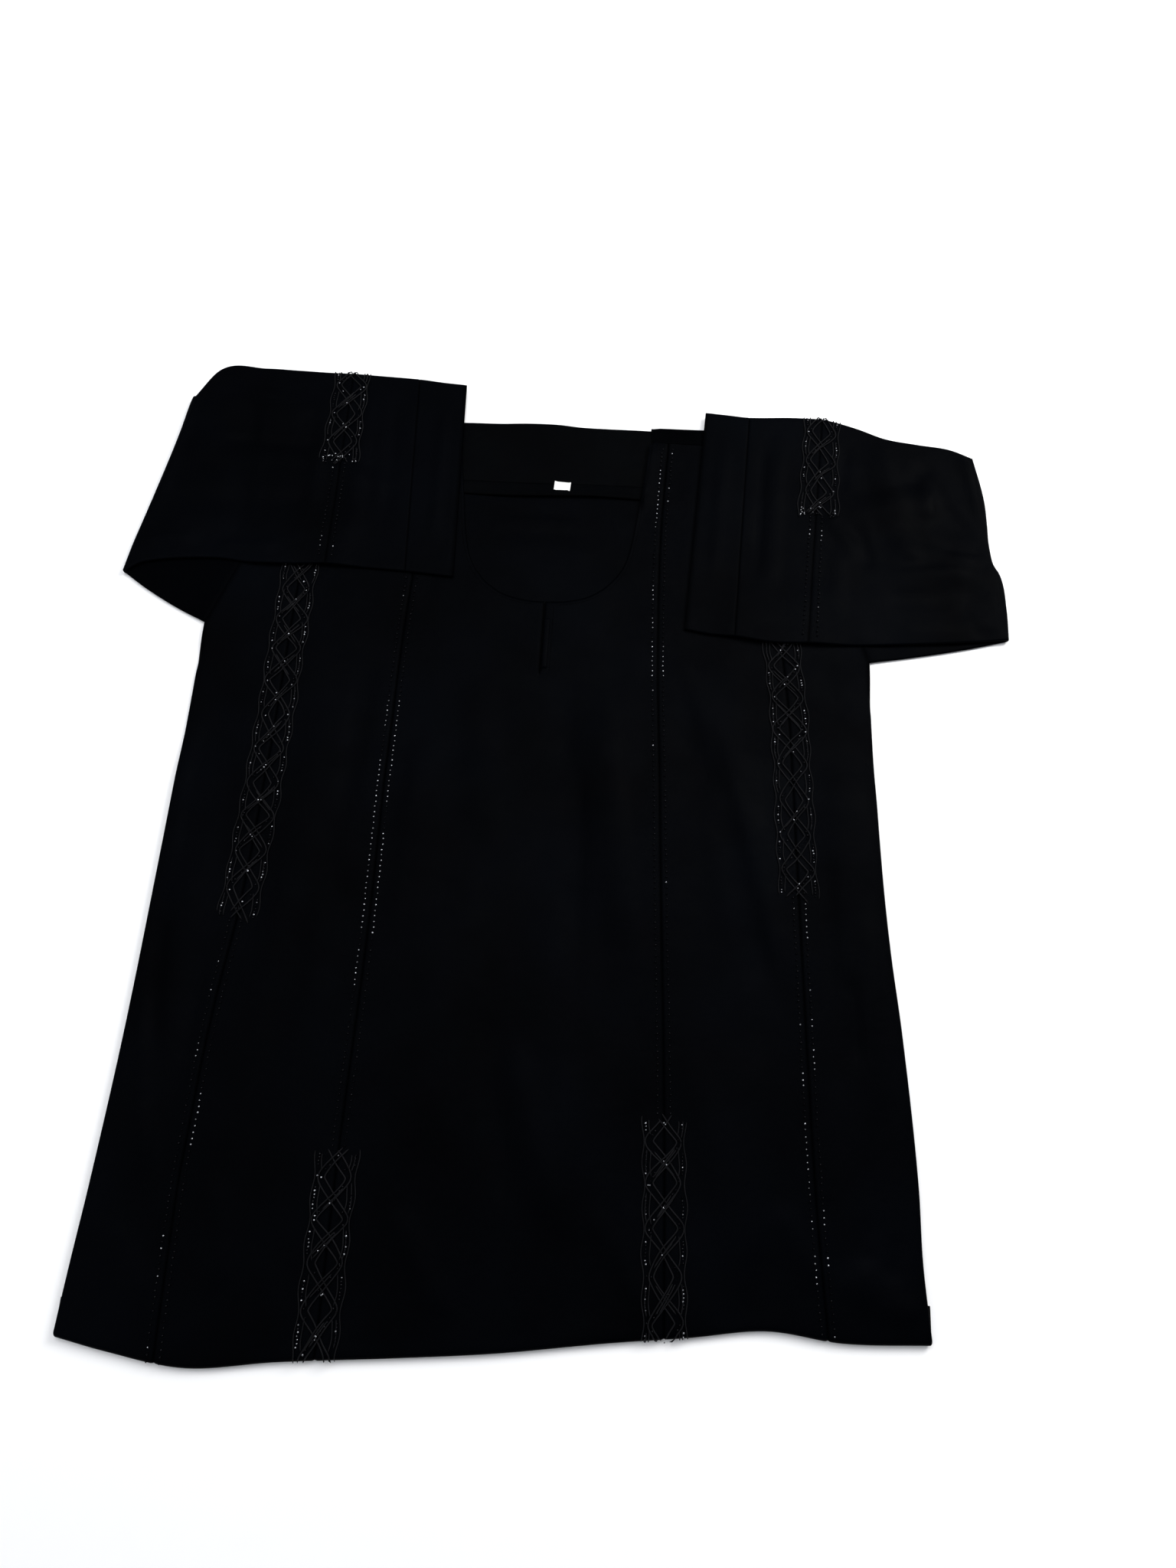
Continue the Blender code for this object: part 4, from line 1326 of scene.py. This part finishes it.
    def build(self) -> None:
        below = ("side_front_" + self.name,)
        self.sheets.declare(self.arm(), f"sleeve_{self.name}", Slot.CREPE, SLEEVE_CUT, below)
        self.sheets.declare(self.band(), f"cuff_{self.name}", Slot.CREPE, CUFF_CUT, below)


@dataclass
class Cords:
    """Tubes of cord along many paths, joined into one mesh."""

    sheets: Sheets
    sides: int = 6

    def tube(self, path: Array, normal: Array, radius: float) -> tuple[Array, Array, Array]:
        """Make one cord with tapered ends.

        Args:
            path: its points.
            normal: direction away from the cloth at each point.
            radius: its radius.

        Returns:
            Points, faces and the place along and round the cord of each corner of a face.
        """
        tangent = np.gradient(path, axis=0)
        tangent /= np.linalg.norm(tangent, axis=1)[:, None]
        side = np.cross(tangent, normal)
        side /= np.linalg.norm(side, axis=1)[:, None]
        up = np.cross(side, tangent)
        count = len(path)
        size = np.full(count, radius)
        size[0] = size[-1] = radius * 0.35
        angles = np.arange(self.sides) / self.sides * 2 * math.pi
        ring = side[:, None] * np.cos(angles)[None, :, None] + up[:, None] * np.sin(angles)[None, :, None]
        points = (path[:, None] + ring * size[:, None, None]).reshape(-1, 3)
        along = chain_lengths(path)
        i, j = np.meshgrid(np.arange(count - 1), np.arange(self.sides), indexing="ij")
        here, nearer = i * self.sides, (j + 1) % self.sides
        ahead = here + self.sides
        faces = np.stack([here + j, here + nearer, ahead + nearer, ahead + j], axis=-1).reshape(-1, 4)
        round_share = np.stack([j, j + 1, j + 1, j], axis=-1).reshape(-1, 4) / self.sides
        along_share = np.stack([along[i], along[i], along[i + 1], along[i + 1]], axis=-1).reshape(-1, 4) / 10
        return points, faces, np.stack([along_share, round_share], axis=-1)

    def join(self, name: str, cords: list[Cord], finish: CordFinish) -> Piece:
        """Join cords into one object.

        Args:
            name: the piece's name.
            cords: path, normals and radius of each cord.
            finish: what they are made of.

        Returns:
            The new object, with closed ends.
        """
        points, faces, places, caps, count = [], [], [], [], 0
        for cord in cords:
            ring_points, loops, place = self.tube(*cord)
            points.append(ring_points)
            faces += (loops + count).tolist()
            places.append(place.reshape(-1, 2))
            last = count + len(ring_points) - self.sides
            caps.append(list(range(count, count + self.sides))[::-1])
            caps.append(list(range(last, last + self.sides)))
            count += len(ring_points)
        mesh = bpy.data.meshes.new(name)
        mesh.from_pydata(PLACE.metres(np.concatenate(points)).tolist(), [], faces + caps)
        places.append(np.zeros((len(caps) * self.sides, 2)))
        uv = np.concatenate(places).astype(np.float32).ravel()
        mesh.uv_layers.new(name="UVMap").data.foreach_set("uv", uv)
        face_outward(mesh)
        mesh.materials.append(self.sheets.material(finish))
        mesh.shade_smooth()
        return show(name, mesh)


@dataclass
class Scatter:
    """Geometry Nodes tree that sets one small rounded form on each point of a mesh."""

    name: str
    finish: BeadFinish | CordFinish
    sheets: Sheets
    segments: int = 8
    rings: int = 5

    def tree(self) -> bpy.types.NodeTree:
        """Build the tree.

        Returns:
            A tree with named inputs for the form's sizes, their unevenness and the seed.
        """
        tree = bpy.data.node_groups.new(self.name, "GeometryNodeTree")
        sizes = ("Length", "Width", "Height")
        sockets = [("Points", "INPUT", "Geometry"),
                   *((label, "INPUT", "Float") for label in (*sizes, "Unevenness")),
                   ("Seed", "INPUT", "Int"), ("Pieces", "OUTPUT", "Geometry")]
        for label, way, kind in sockets:
            tree.interface.new_socket(label, in_out=way, socket_type="NodeSocket" + kind)
        kit = Nodes(tree)
        source = kit.add("NodeGroupInput").outputs
        form = kit.add("GeometryNodeMeshUVSphere", {
            "Segments": self.segments, "Rings": self.rings, "Radius": 0.5})
        size = kit.add("ShaderNodeCombineXYZ", {axis: source[label] for axis, label in zip("XYZ", sizes)})
        least, most = (kit.add("ShaderNodeMath", {0: 1.0, 1: source["Unevenness"]}, operation=kind)
                       for kind in ("SUBTRACT", "ADD"))
        chance = kit.add("FunctionNodeRandomValue", {
            2: least.outputs[0], 3: most.outputs[0], "Seed": source["Seed"]}, data_type="FLOAT")
        scale = kit.add("ShaderNodeVectorMath", {0: size.outputs[0], "Scale": chance.outputs[1]},
                        operation="SCALE")
        turn = {}
        for label, axis, pivot in (("upward", "Z", "AUTO"), ("along", "X", "Z")):
            named = kit.add("GeometryNodeInputNamedAttribute", {"Name": label}, data_type="FLOAT_VECTOR")
            align = kit.add("FunctionNodeAlignRotationToVector", {
                "Vector": named.outputs["Attribute"], **turn}, axis=axis, pivot_axis=pivot)
            turn = {"Rotation": align.outputs[0]}
        place = kit.add("GeometryNodeInstanceOnPoints", {
            "Points": source["Points"], "Instance": form.outputs["Mesh"], "Scale": scale.outputs[0], **turn})
        real = kit.add("GeometryNodeRealizeInstances", {"Geometry": place.outputs["Instances"]})
        smooth = kit.add("GeometryNodeSetShadeSmooth", {"Geometry": real.outputs["Geometry"]})
        dress = kit.add("GeometryNodeSetMaterial", {
            "Geometry": smooth.outputs["Geometry"], "Material": self.sheets.material(self.finish)})
        kit.add("NodeGroupOutput", {"Pieces": dress.outputs["Geometry"]})
        return tree

    def apply(self, points: Array, along: Array, upward: Array, glint: Array,
              sizes: dict[str, float | int]) -> Piece:
        """Set the form on each point and keep the result as a plain mesh.

        Args:
            points: places in millimetres.
            along: direction of each form's length.
            upward: direction away from the cloth.
            glint: share of painted glint of each form.
            sizes: values of the tree's inputs by name, lengths in metres.

        Returns:
            The new object.
        """
        mesh = bpy.data.meshes.new(self.name)
        mesh.from_pydata(PLACE.metres(points).tolist(), [], [])
        for label, values in (("along", along), ("upward", upward), ("glint", glint)):
            point_values(mesh, label, values)
        made, tree = show(self.name, mesh), self.tree()
        modifier = made.modifiers.new("scatter", "NODES")
        modifier.node_group = tree
        for item in tree.interface.items_tree:
            if item.in_out == "INPUT" and item.name in sizes:
                modifier[item.identifier] = sizes[item.name]
        result = bpy.data.meshes.new_from_object(made.evaluated_get(bpy.context.evaluated_depsgraph_get()))
        made.modifiers.remove(modifier)
        made.data = result
        if not result.materials:
            result.materials.append(self.sheets.material(self.finish))
        LOG.info("%s: %d pieces, %d points", self.name, len(points), len(result.vertices))
        return made


@dataclass
class Braid:
    """Flat braid of two ribbons of cord that cross, between two edge cords, with beads in the ribbons."""

    name: str
    spot: Spot
    start: float
    end: float
    seed: int
    loose_start: bool
    loose_end: bool
    pitch: float = BRAID_PITCH
    swing: float = 12.0
    ribbon: float = 5.4
    radius: float = 0.52
    middle: float = 1.4
    rise: float = 0.62
    bend: float = 0.96

    def swing_at(self, along: Array) -> Array:
        """Work out the first ribbon's swing, in nearly straight, uneven runs.

        Args:
            along: distances along the braid.

        Returns:
            Its distance from the braid's middle at each.
        """
        uneven = 1 + 0.06 * np.sin(along / 27 + self.seed) + 0.05 * np.sin(along / 11 + 2 * self.seed)
        reach = self.swing * uneven
        phase = math.pi * along / self.pitch + 0.16 * np.sin(along / 31 + self.seed)
        return reach * np.arcsin(self.bend * np.sin(phase)) / math.asin(self.bend)

    def over(self, along: Array) -> Array:
        """How far the first ribbon lies above the other one, from 1 to -1."""
        return -np.cos(math.pi * along / self.pitch)

    def laid(self, along: Array, off: Array, level: Array) -> tuple[Array, Array]:
        """Lay places of the braid over the cloth.

        Args:
            along: distances along the braid.
            off: distances from its middle.
            level: heights above the cloth.

        Returns:
            Points and the directions away from the cloth.
        """
        low, high = self.spot(along, off, level), self.spot(along, off, level + 1.0)
        normal = high - low
        return low, normal / np.linalg.norm(normal, axis=1)[:, None]

    def ends(self, picks: np.random.Generator, most: float) -> tuple[float, float]:
        """Where one cord starts and ends, past the braid where its ends are loose."""
        first = self.start - (picks.uniform(-2, most) if self.loose_start else 0)
        return first, self.end + (picks.uniform(-2, most) if self.loose_end else 0)

    def cords(self) -> list[Cord]:
        """Lay every cord of the braid.

        Returns:
            Path, normals and radius of each cord.
        """
        picks = np.random.default_rng(self.seed)
        cords = []
        for sign in (1, -1):
            for lane in (-1, 1):
                along = np.arange(*self.ends(picks, 8), 1.8)
                wobble = 0.5 * np.sin(along / 17 + picks.uniform(0, 6))
                wobble = wobble + 0.45 * np.sin(along / 5 + picks.uniform(0, 6))
                centre = sign * self.swing_at(along)
                bend = np.arctan(np.gradient(centre, along))
                reach = lane * (self.ribbon / 2 + 0.8 * np.sin(along / 9 + picks.uniform(0, 6)))
                level = self.middle + sign * self.rise * self.over(along)
                level = level + 0.12 * np.sin(along / 3.1 + 6 * picks.random())
                off = np.clip(centre + reach * np.cos(bend) + wobble, -BRAID_REACH, BRAID_REACH)
                cords.append((*self.laid(along - reach * np.sin(bend), off, level), self.radius * 1.15))
        for side in (-1, 1):
            along = np.arange(*self.ends(picks, 6), 2.0)
            shift = picks.uniform(0, 6)
            off = 18.0 + 1.1 * np.cos(2 * math.pi * along / self.pitch) + 0.4 * np.sin(along / 15 + shift)
            level = 1.1 - 0.3 * np.cos(2 * math.pi * along / self.pitch)
            cords.append((*self.laid(along, side * off, level), self.radius * 0.9))
        for crossing in self.crossings(-12):
            for side in (-1, 1):
                cords += self.bow(crossing, side, picks)
            turn = -1 if round(crossing / self.pitch) % 2 == 0 else 1
            for way, share, level in ((turn, 0.85, 2.15), (-turn, 0.45, 0.95), (turn, 0.4, 2.2)):
                t = np.linspace(-picks.uniform(7, 13), picks.uniform(7, 13), 14)
                off = way * self.swing_at(crossing + t) + picks.uniform(-2.0, 2.0)
                off = np.clip(off + picks.uniform(-0.12, 0.12) * t, -BRAID_REACH, BRAID_REACH)
                if picks.random() < share and self.start + 9 < crossing < self.end - 9:
                    cords.append((*self.laid(crossing + t, off, np.full(len(t), level)), self.radius * 1.1))
        return cords

    def crossings(self, inside: float) -> list[float]:
        """List the crossings that lie between the ends.

        Args:
            inside: least distance from either end.

        Returns:
            Their distances along the braid.
        """
        first, last = math.floor(self.start / self.pitch), math.ceil(self.end / self.pitch)
        return [k * self.pitch for k in range(first, last + 1)
                if self.start + inside < k * self.pitch < self.end - inside]

    def bow(self, middle: float, side: int, picks: np.random.Generator) -> list[Cord]:
        """Lay the short upright cords that close a crossing at one side.

        Args:
            middle: distance of the crossing.
            side: side of the braid.
            picks: the braid's random picks.

        Returns:
            One cord, two or none.
        """
        bows = []
        for near, share in ((11.4, 0.9), (14.4, 0.45)):
            low, high = -picks.uniform(9.5, 14), picks.uniform(9.5, 14)
            low, high = max(low, self.start - middle), min(high, self.end - middle)
            if picks.random() < share and high - low > 6:
                t = np.linspace(low, high, 14)
                off = near + 1.3 * np.cos(math.pi * t / 26) + picks.uniform(-0.6, 0.6) + 0.2 * np.sin(t / 3)
                level = 0.8 + 1.1 * (t / 13) ** 2
                bows.append((*self.laid(middle + t, side * off, level), self.radius * 0.92))
        return bows

    def beads(self) -> tuple[Array, Array, Array, Array]:
        """Place the beads that lie in the ribbons.

        Returns:
            Points, directions along and away from the cloth, and share of painted glint of each bead.
        """
        picks = np.random.default_rng(self.seed + 50)
        spots = []
        for sign in (1, -1):
            for along in np.arange(self.start + 2, self.end - 2, 3.4):
                lane, over = sign * float(self.swing_at(along)), float(self.over(along))
                if picks.random() < 0.55 and sign * over > -0.6:
                    level = self.middle + sign * self.rise * over
                    spots.append((along, lane + picks.uniform(-1.0, 1.0), level, 0.12))
        for crossing in self.crossings(-3):
            for side in (-1, 1):
                for t in np.arange(-8.4, 8.5, 2.8):
                    place = crossing + t + picks.uniform(-0.3, 0.3)
                    spots.append((place, side * (15.6 + picks.uniform(-0.4, 0.4)), 0.9, 0.34))
            spots += [(crossing + picks.uniform(-5, 5), picks.uniform(-2.5, 2.5), 2.6, 0.55)
                      for _ in range(2)]
            off = picks.choice((-1, 1)) * picks.uniform(12.5, 15)
            spots.append((crossing + self.pitch / 2, off, 2.4, 0.6))
        if self.loose_end and self.end < 130:
            spots += [(self.end + picks.uniform(-8, 3), picks.uniform(-17, 17), 1.6, 0.5) for _ in range(26)]
        spots = [spot for spot in spots if self.start <= spot[0] <= self.end + 3]
        along, off, level, share = np.array(spots).T
        points, normal = self.laid(along, off, level)
        ahead, _ = self.laid(along + 1, off, level)
        # Painted glint: a random share of beads, more at the crossings and edges, take the bright glint
        # colour.
        glint = np.where(picks.random(len(spots)) < share, picks.uniform(0.4, 1.0, len(spots)) ** 1.6,
                         picks.uniform(0.0, 0.03, len(spots)))
        return points, ahead - points, normal, glint


@dataclass
class Trim:
    """Braids, beads, stitches, label and slit binding."""

    sheets: Sheets
    body: Body
    left: Sleeve
    right: Sleeve
    label_size: tuple[float, float] = (17.0, 10.0)
    label_middle: tuple[float, float] = (10.0, 829.0)
    label_turn: float = -4.0
    label_high: float = 3.9
    binding_size: tuple[float, float] = (6.0, 56.0)
    slit_stitches: tuple[float, float] = (9.4, 686.0)
    hem_stitches: tuple[float, float] = (832.6, 2.32)

    def front_spot(self, seam: Curve, top: float) -> Spot:
        """Give the place over a front seam, and on round the bottom fold.

        Args:
            seam: the seam.
            top: height up the cloak from which distances count.

        Returns:
            Function that gives points for distances along and off the seam and above the cloth.
        """

        def spot(along: Array, off: Array, level: Array) -> Array:
            """Find points over the seam.

            Args:
                along: distances along it.
                off: distances from it.
                level: heights above the cloth.

            Returns:
                One point for each.
            """
            middle = float(BOTTOM_FOLD.at(seam.at(0.0)))
            flat = top - middle - FOLD_TURN
            x = seam.at(top - along) + off
            fold = BOTTOM_FOLD.at(x)
            y = top + (fold + FOLD_TURN - top) * np.clip(along, None, flat) / flat
            angle = np.clip((along - flat) / FOLD_TURN, 0, 2.0)
            out = FOLD_TURN + level
            over = xyz(x, fold + FOLD_TURN - out * np.sin(angle), FOLD_TURN + out * np.cos(angle))
            plain = xyz(x, y, self.body.top(x, y) + level)
            return np.where((along > flat)[:, None], over, plain)

        return spot

    def sleeve_spot(self, sleeve: Sleeve) -> Spot:
        """Give the place over a cuff's seam, and on round the sleeve's upper edge.

        Args:
            sleeve: the sleeve, from whose upper edge distances count.

        Returns:
            Function that gives points for distances along and off the seam and above the cloth.
        """
        half = sleeve.half
        seam, cuff_next, sleeve_next = (
            np.array(section, float) for section in (half.cuff[0], half.cuff[1], half.over[-2]))

        def spot(along: Array, off: Array, level: Array) -> Array:
            """Find points over the seam.

            Args:
                along: distances along it.
                off: distances from it.
                level: heights above the cloth.

            Returns:
                One point for each.
            """
            to_cuff = (off * -half.sign > 0)[:, None]
            near = np.where(to_cuff, cuff_next, sleeve_next)
            share = (np.abs(off) / np.maximum(1.0, np.abs(near[:, 2] - seam[2])))[:, None]
            section = seam + (near - seam) * share
            low, top = section[:, :2], section[:, 2:]
            down = (low - top) / np.linalg.norm(low - top, axis=1)[:, None]
            turn = SLEEVE_HEIGHT / 2
            at = top + down * (turn + np.maximum(along, 0))[:, None]
            flat = np.column_stack([at, sleeve.top(at[:, 0], at[:, 1]) + level])
            angle = np.clip(-along / turn, 0, math.pi)
            tail = np.maximum(-along - math.pi * turn, 0)
            out = turn + level
            edge = top + down * (turn + tail - out * np.sin(angle))[:, None]
            z = sleeve.lift(edge[:, 0], edge[:, 1]) + turn + out * np.cos(angle)
            return np.where((along < 0)[:, None], np.column_stack([edge, z]), flat)

        return spot

    def braids(self) -> list[Braid]:
        """List the six braids.

        Returns:
            The braids, each with its place over a seam.
        """
        left_low, right_low = (
            top - float(BOTTOM_FOLD.at(half.inner.at(0.0))) - FOLD_TURN + FOLD_TURN * 1.6
            for half, top in ((LEFT, 148), (RIGHT, 190)))
        outer_left = self.front_spot(LEFT.outer, self.left.braid_low)
        outer_right = self.front_spot(RIGHT.outer, self.right.braid_low)
        return [
            Braid("braid_outer_left", outer_left, 0, 397, 3, False, True),
            Braid("braid_outer_right", outer_right, 0, 287, 4, False, True),
            Braid("braid_lower_left", self.front_spot(LEFT.inner, 148), 0, left_low, 5, True, False),
            Braid("braid_lower_right", self.front_spot(RIGHT.inner, 190), 0, right_low, 6, True, False),
            Braid("braid_sleeve_left", self.sleeve_spot(self.left), -9, 112, 7, False, True),
            Braid("braid_sleeve_right", self.sleeve_spot(self.right), -9, 118, 8, False, True)]

    def bead_row(self, spot: Spot, start: float, end: float, off: float, glints: Rows,
                 seed: int) -> tuple[Array, Array, Array, Array]:
        """Place a row of beads beside a seam.

        Args:
            spot: place over the seam.
            start: distance of the first bead.
            end: distance of the last bead.
            off: distance from the seam.
            glints: spans in which the beads take the painted glint colour.
            seed: start of the random picks.

        Returns:
            Points, directions along and away from the cloth, and share of painted glint of each bead.
        """
        picks = np.random.default_rng(seed)
        along = np.arange(start, end, 5.3)
        along = along + picks.uniform(-0.5, 0.5, len(along))
        off_row = np.full(len(along), off) + picks.uniform(-0.4, 0.4, len(along))
        level = np.full(len(along), 0.95)
        points = spot(along, off_row, level)
        upward = spot(along, off_row, level + 1) - points
        ahead = spot(along + 1, off_row, level) - points
        # Painted glint: beads in the listed spans take the bright glint colour, the rest stay painted near
        # black.
        shine = np.zeros(len(along))
        for low, high in glints:
            shine = np.where((along >= low) & (along <= high), 1.0, shine)
        glint = np.where(shine > 0, picks.uniform(0.3, 1.0, len(along)) ** 1.5,
                         picks.uniform(0.0, 0.02, len(along)))
        return points, ahead, upward, glint

    def scatter(self, form: Scatter, slot: Slot, rows: list[tuple[Array, ...]], seed: int,
                sizes: dict[str, float]) -> None:
        """Args:
            form: the small form.
            slot: the record's finish that it belongs to.
            rows: points, two directions and share of painted glint of each row.
            seed: start of the tree's random picks.
            sizes: the tree's other inputs by name.
        """
        columns = [np.concatenate(part) for part in zip(*rows)]
        self.sheets.declare(form.apply(*columns, {**sizes, "Seed": seed}), "", slot)

    def build_braids(self) -> None:
        """Make the six braids and the beads in them."""
        cords, rows = Cords(self.sheets), []
        for braid in self.braids():
            piece = cords.join("cords_" + braid.name, braid.cords(), CORD)
            self.sheets.declare(piece, braid.name, Slot.CORD)
            rows.append(braid.beads())
        self.scatter(Scatter("beads_in_braids", BEADS, self.sheets), Slot.CORD, rows, 5, BEAD_SIZES)

    def build_beads(self) -> None:
        """Make the rows of beads beside the seams."""
        spots = {"inner_left": self.front_spot(LEFT.inner, SHOULDER_SEAM),
                 "inner_right": self.front_spot(RIGHT.inner, SHOULDER_SEAM),
                 "outer_left": self.front_spot(LEFT.outer, 351),
                 "outer_right": self.front_spot(RIGHT.outer, 402),
                 "sleeve_left": self.sleeve_spot(self.left), "sleeve_right": self.sleeve_spot(self.right)}
        rows = []
        for name, start, end, *sides in SEAM_BEADS:
            for off, glints in zip((-BEAD_OFF, BEAD_OFF), sides):
                rows.append(self.bead_row(spots[name], start, end, off, glints, BEAD_SEED + len(rows)))
        self.scatter(Scatter("beads_beside_seams", BEADS, self.sheets), Slot.CORD, rows, 9, BEAD_SIZES)

    def stitch_line(self, path: Array, height: Callable[[Array, Array], Array],
                    pitch: float = 3.0) -> tuple[Array, Array, Array, Array]:
        """Place the stitches along a line.

        Args:
            path: points of the line across the cloak.
            height: function that gives the cloth's height.
            pitch: distance between stitches.

        Returns:
            Points, directions along and away from the cloth, and no painted glint.
        """
        along = chain_lengths(path)
        at = np.arange(pitch / 2, along[-1], pitch)
        ends = []
        for place in (at, at + 0.5):
            x, y = np.interp(place, along, path[:, 0]), np.interp(place, along, path[:, 1])
            ends.append(np.column_stack([x, y, height(x, y)]))
        points, ahead = ends[0], ends[1] - ends[0] + (1e-6, 0, 0)
        return points, ahead, np.tile([0.0, 0.0, 1.0], (len(at), 1)), np.zeros(len(at))

    def build_stitches(self) -> None:
        """Make the stitches at the neck, the slit, the facing's hem and the cuffs' hems."""

        def front(x: Array, y: Array) -> Array:
            """Height of the stitches on the front."""
            return self.body.top(x, y) + 0.02

        rows = []
        shares = np.linspace(0.06, NECK_SHARE, 120)
        y = NECK_Y.at(shares) - 4.0 * (1 - ease((shares - 0.35) / 0.3))
        for sign in (-1, 1):
            x = sign * (NECK_X.at(shares) + 3.2 * ease((shares - 0.1) / 0.4))
            rows.append(self.stitch_line(np.column_stack([x, y]), front))
        beside, high = self.slit_stitches
        rows.append(self.stitch_line(np.array([[beside, SLIT_LOW - 1], [beside, high]]), front))
        across, (hem, level) = np.linspace(-NECK_SIDE, NECK_SIDE, 60), self.hem_stitches
        line = np.column_stack([across, np.full(len(across), hem)])
        rows.append(self.stitch_line(line, lambda a, b: np.full(len(a), level)))
        for sleeve in (self.left, self.right):
            low, top = np.array(sleeve.half.cuff[2], float).reshape(2, 2)
            line = low + np.outer(np.linspace(0.015, 0.985, 60), top - low)
            rows.append(self.stitch_line(line, lambda a, b, s=sleeve: s.top(a, b) - 0.5))
        self.scatter(Scatter("stitches", THREAD, self.sheets, 6, 4), Slot.CREPE, rows, 3, STITCH_SIZES)

    def build_label(self) -> None:
        """Make the bare woven label, curled a little at its ends."""
        (middle_x, middle_y), (wide, high) = self.label_middle, (side / 2 for side in self.label_size)
        u = np.concatenate([[-wide, -8.2, -7.7], np.linspace(-6.8, 6.8, 18), [7.7, 8.2, wide]])
        v = np.concatenate([[-high, -4.8, -4.4], np.linspace(-3.8, 3.8, 10), [4.4, 4.8, high]])
        angle = math.radians(self.label_turn)
        grid_v, grid_u = np.meshgrid(v, u, indexing="ij")
        x = middle_x + grid_u * math.cos(angle) - grid_v * math.sin(angle)
        y = middle_y + grid_u * math.sin(angle) + grid_v * math.cos(angle)
        rim = ease(np.minimum(wide - np.abs(grid_u), high - np.abs(grid_v)) / 0.8)
        base = self.label_high + (0.8 * ease((np.abs(grid_u) - 5.5) / 3) + 0.25 * np.sin(grid_v / 2.2))
        outer, inner = xyz(x, y, base + 0.35 * rim + 0.25), xyz(x, y, base - 0.1 * rim)
        piece = self.sheets.wall("woven_label", WOVEN_WHITE, outer, inner)
        below = ("back_neck_facing",)
        self.sheets.declare(piece, "size_label", Slot.LABEL, self.label_size, below, Hold.LAID)

    def build_binding(self) -> None:
        """Make the binding on the slit's right edge, rounded over it."""
        wide, high = self.binding_size
        u = np.array([0.0, 0.25, 0.8, 1.6, 2.6, 3.6, 4.6, 5.3, 5.75, wide])
        v = np.concatenate([[0, 0.4, 1.2], np.linspace(3, 53, 26), [54.8, 55.6, high]])
        grid_v, grid_u = np.meshgrid(v, u, indexing="ij")
        x, y = SLIT_HALF + grid_u, SLIT_LOW + 4 + grid_v
        crown = np.sin(np.clip(grid_u / wide, 0, 1) * math.pi) ** 0.6
        ends = ease(np.minimum(grid_v, high - grid_v) / 1.2)
        wobble = 0.12 * np.sin(grid_v / 2.9) * crown
        low = self.body.top(x, y) + 0.05
        outer, inner = xyz(x, y, low + 0.25 + (0.95 * crown + wobble) * ends), xyz(x, y, low)
        # Painted shade along the binding's side at the slit.
        piece = self.sheets.wall("slit_binding_cloth", CREPE, outer, inner, (grid_u < 1) * 0.6)
        self.sheets.declare(piece, "slit_binding", Slot.FACING, (2 * wide, high), ("centre_front",))


@dataclass
class Studio:
    """Pale floor, soft lights and the camera at the photograph's angle."""

    sheets: Sheets
    lens: float = 27.19
    elevation: float = 70.0
    eye: tuple[float, float, float] = (73.3, 110.2, 1068.8)
    heading: tuple[float, float] = (-0.0504, 0.9987)
    drop: float = 0.0006

    def floor(self) -> None:
        """Lay the floor just under the cloak."""
        mesh = bpy.data.meshes.new("floor")
        corners = [(x, y, -self.drop) for x, y in ((-6, -6), (6, -6), (6, 6), (-6, 6))]
        mesh.from_pydata(corners, [], [(0, 1, 2, 3)])
        mesh.materials.append(self.sheets.material(FLOOR))
        show("floor", mesh)

    def light(self, name: str, place: tuple[float, float, float], size: float, power: float,
              colour: Colour) -> None:
        """Hang one soft square light that faces the cloak's middle.

        Args:
            name: the light's name.
            place: where it hangs, in metres.
            size: its side in metres.
            power: its power in watts.
            colour: its colour.
        """
        lamp = bpy.data.lights.new(name, "AREA")
        lamp.shape, lamp.size, lamp.energy, lamp.color = "SQUARE", size, power, colour
        made = show(name, lamp)
        made.location = place
        made.rotation_euler = (-Vector(place)).to_track_quat("-Z", "Y").to_euler()

    def camera(self) -> None:
        """Set the camera at the photograph's height and angle."""
        data = bpy.data.cameras.new("camera")
        data.lens, data.sensor_width, data.clip_start = self.lens, 36.0, 0.05
        made = show("camera", data)
        made.location = Vector(PLACE.metres(np.array(self.eye)))
        down = math.radians(self.elevation)
        look = Vector((self.heading[0] * math.cos(down), self.heading[1] * math.cos(down), -math.sin(down)))
        made.rotation_euler = look.to_track_quat("-Z", "Y").to_euler()
        bpy.context.scene.camera = made

    def build(self) -> None:
        """Make the floor, the lights, the sky and the camera."""
        self.floor()
        self.light("window", (1.3, 1.1, 1.5), 1.0, 40.0, (1.0, 0.99, 0.97))
        self.light("overhead", (-0.3, 0.75, 2.3), 1.5, 34.0, (0.97, 0.98, 1.0))
        self.light("fill", (-1.6, -0.6, 1.2), 1.2, 7.0, (0.95, 0.97, 1.0))
        world = bpy.data.worlds.new("studio")
        world.use_nodes = True
        shade = world.node_tree.nodes["Background"]
        shade.inputs["Color"].default_value = (0.93, 0.95, 1.0, 1.0)
        shade.inputs["Strength"].default_value = 0.38
        bpy.context.scene.world = world
        bpy.context.scene.view_settings.view_transform = "Standard"
        self.camera()


def main() -> None:
    """Build the cloak's pieces in order and report each one."""
    logging.basicConfig(level=logging.INFO, format="%(message)s")
    sheets = Sheets()
    body = Body(sheets)
    body.build()
    Back(sheets).build()
    left = Sleeve(sheets, "left", LEFT, LEFT_RELIEF, LEFT_FOLD_OUT, 748)
    right = Sleeve(sheets, "right", RIGHT, RIGHT_RELIEF, RIGHT_FOLD_OUT, 684)
    left.build()
    right.build()
    trim = Trim(sheets, body, left, right)
    trim.build_binding()
    trim.build_label()
    trim.build_braids()
    trim.build_beads()
    trim.build_stitches()
    Studio(sheets).build()


if __name__ == "__main__":
    main()
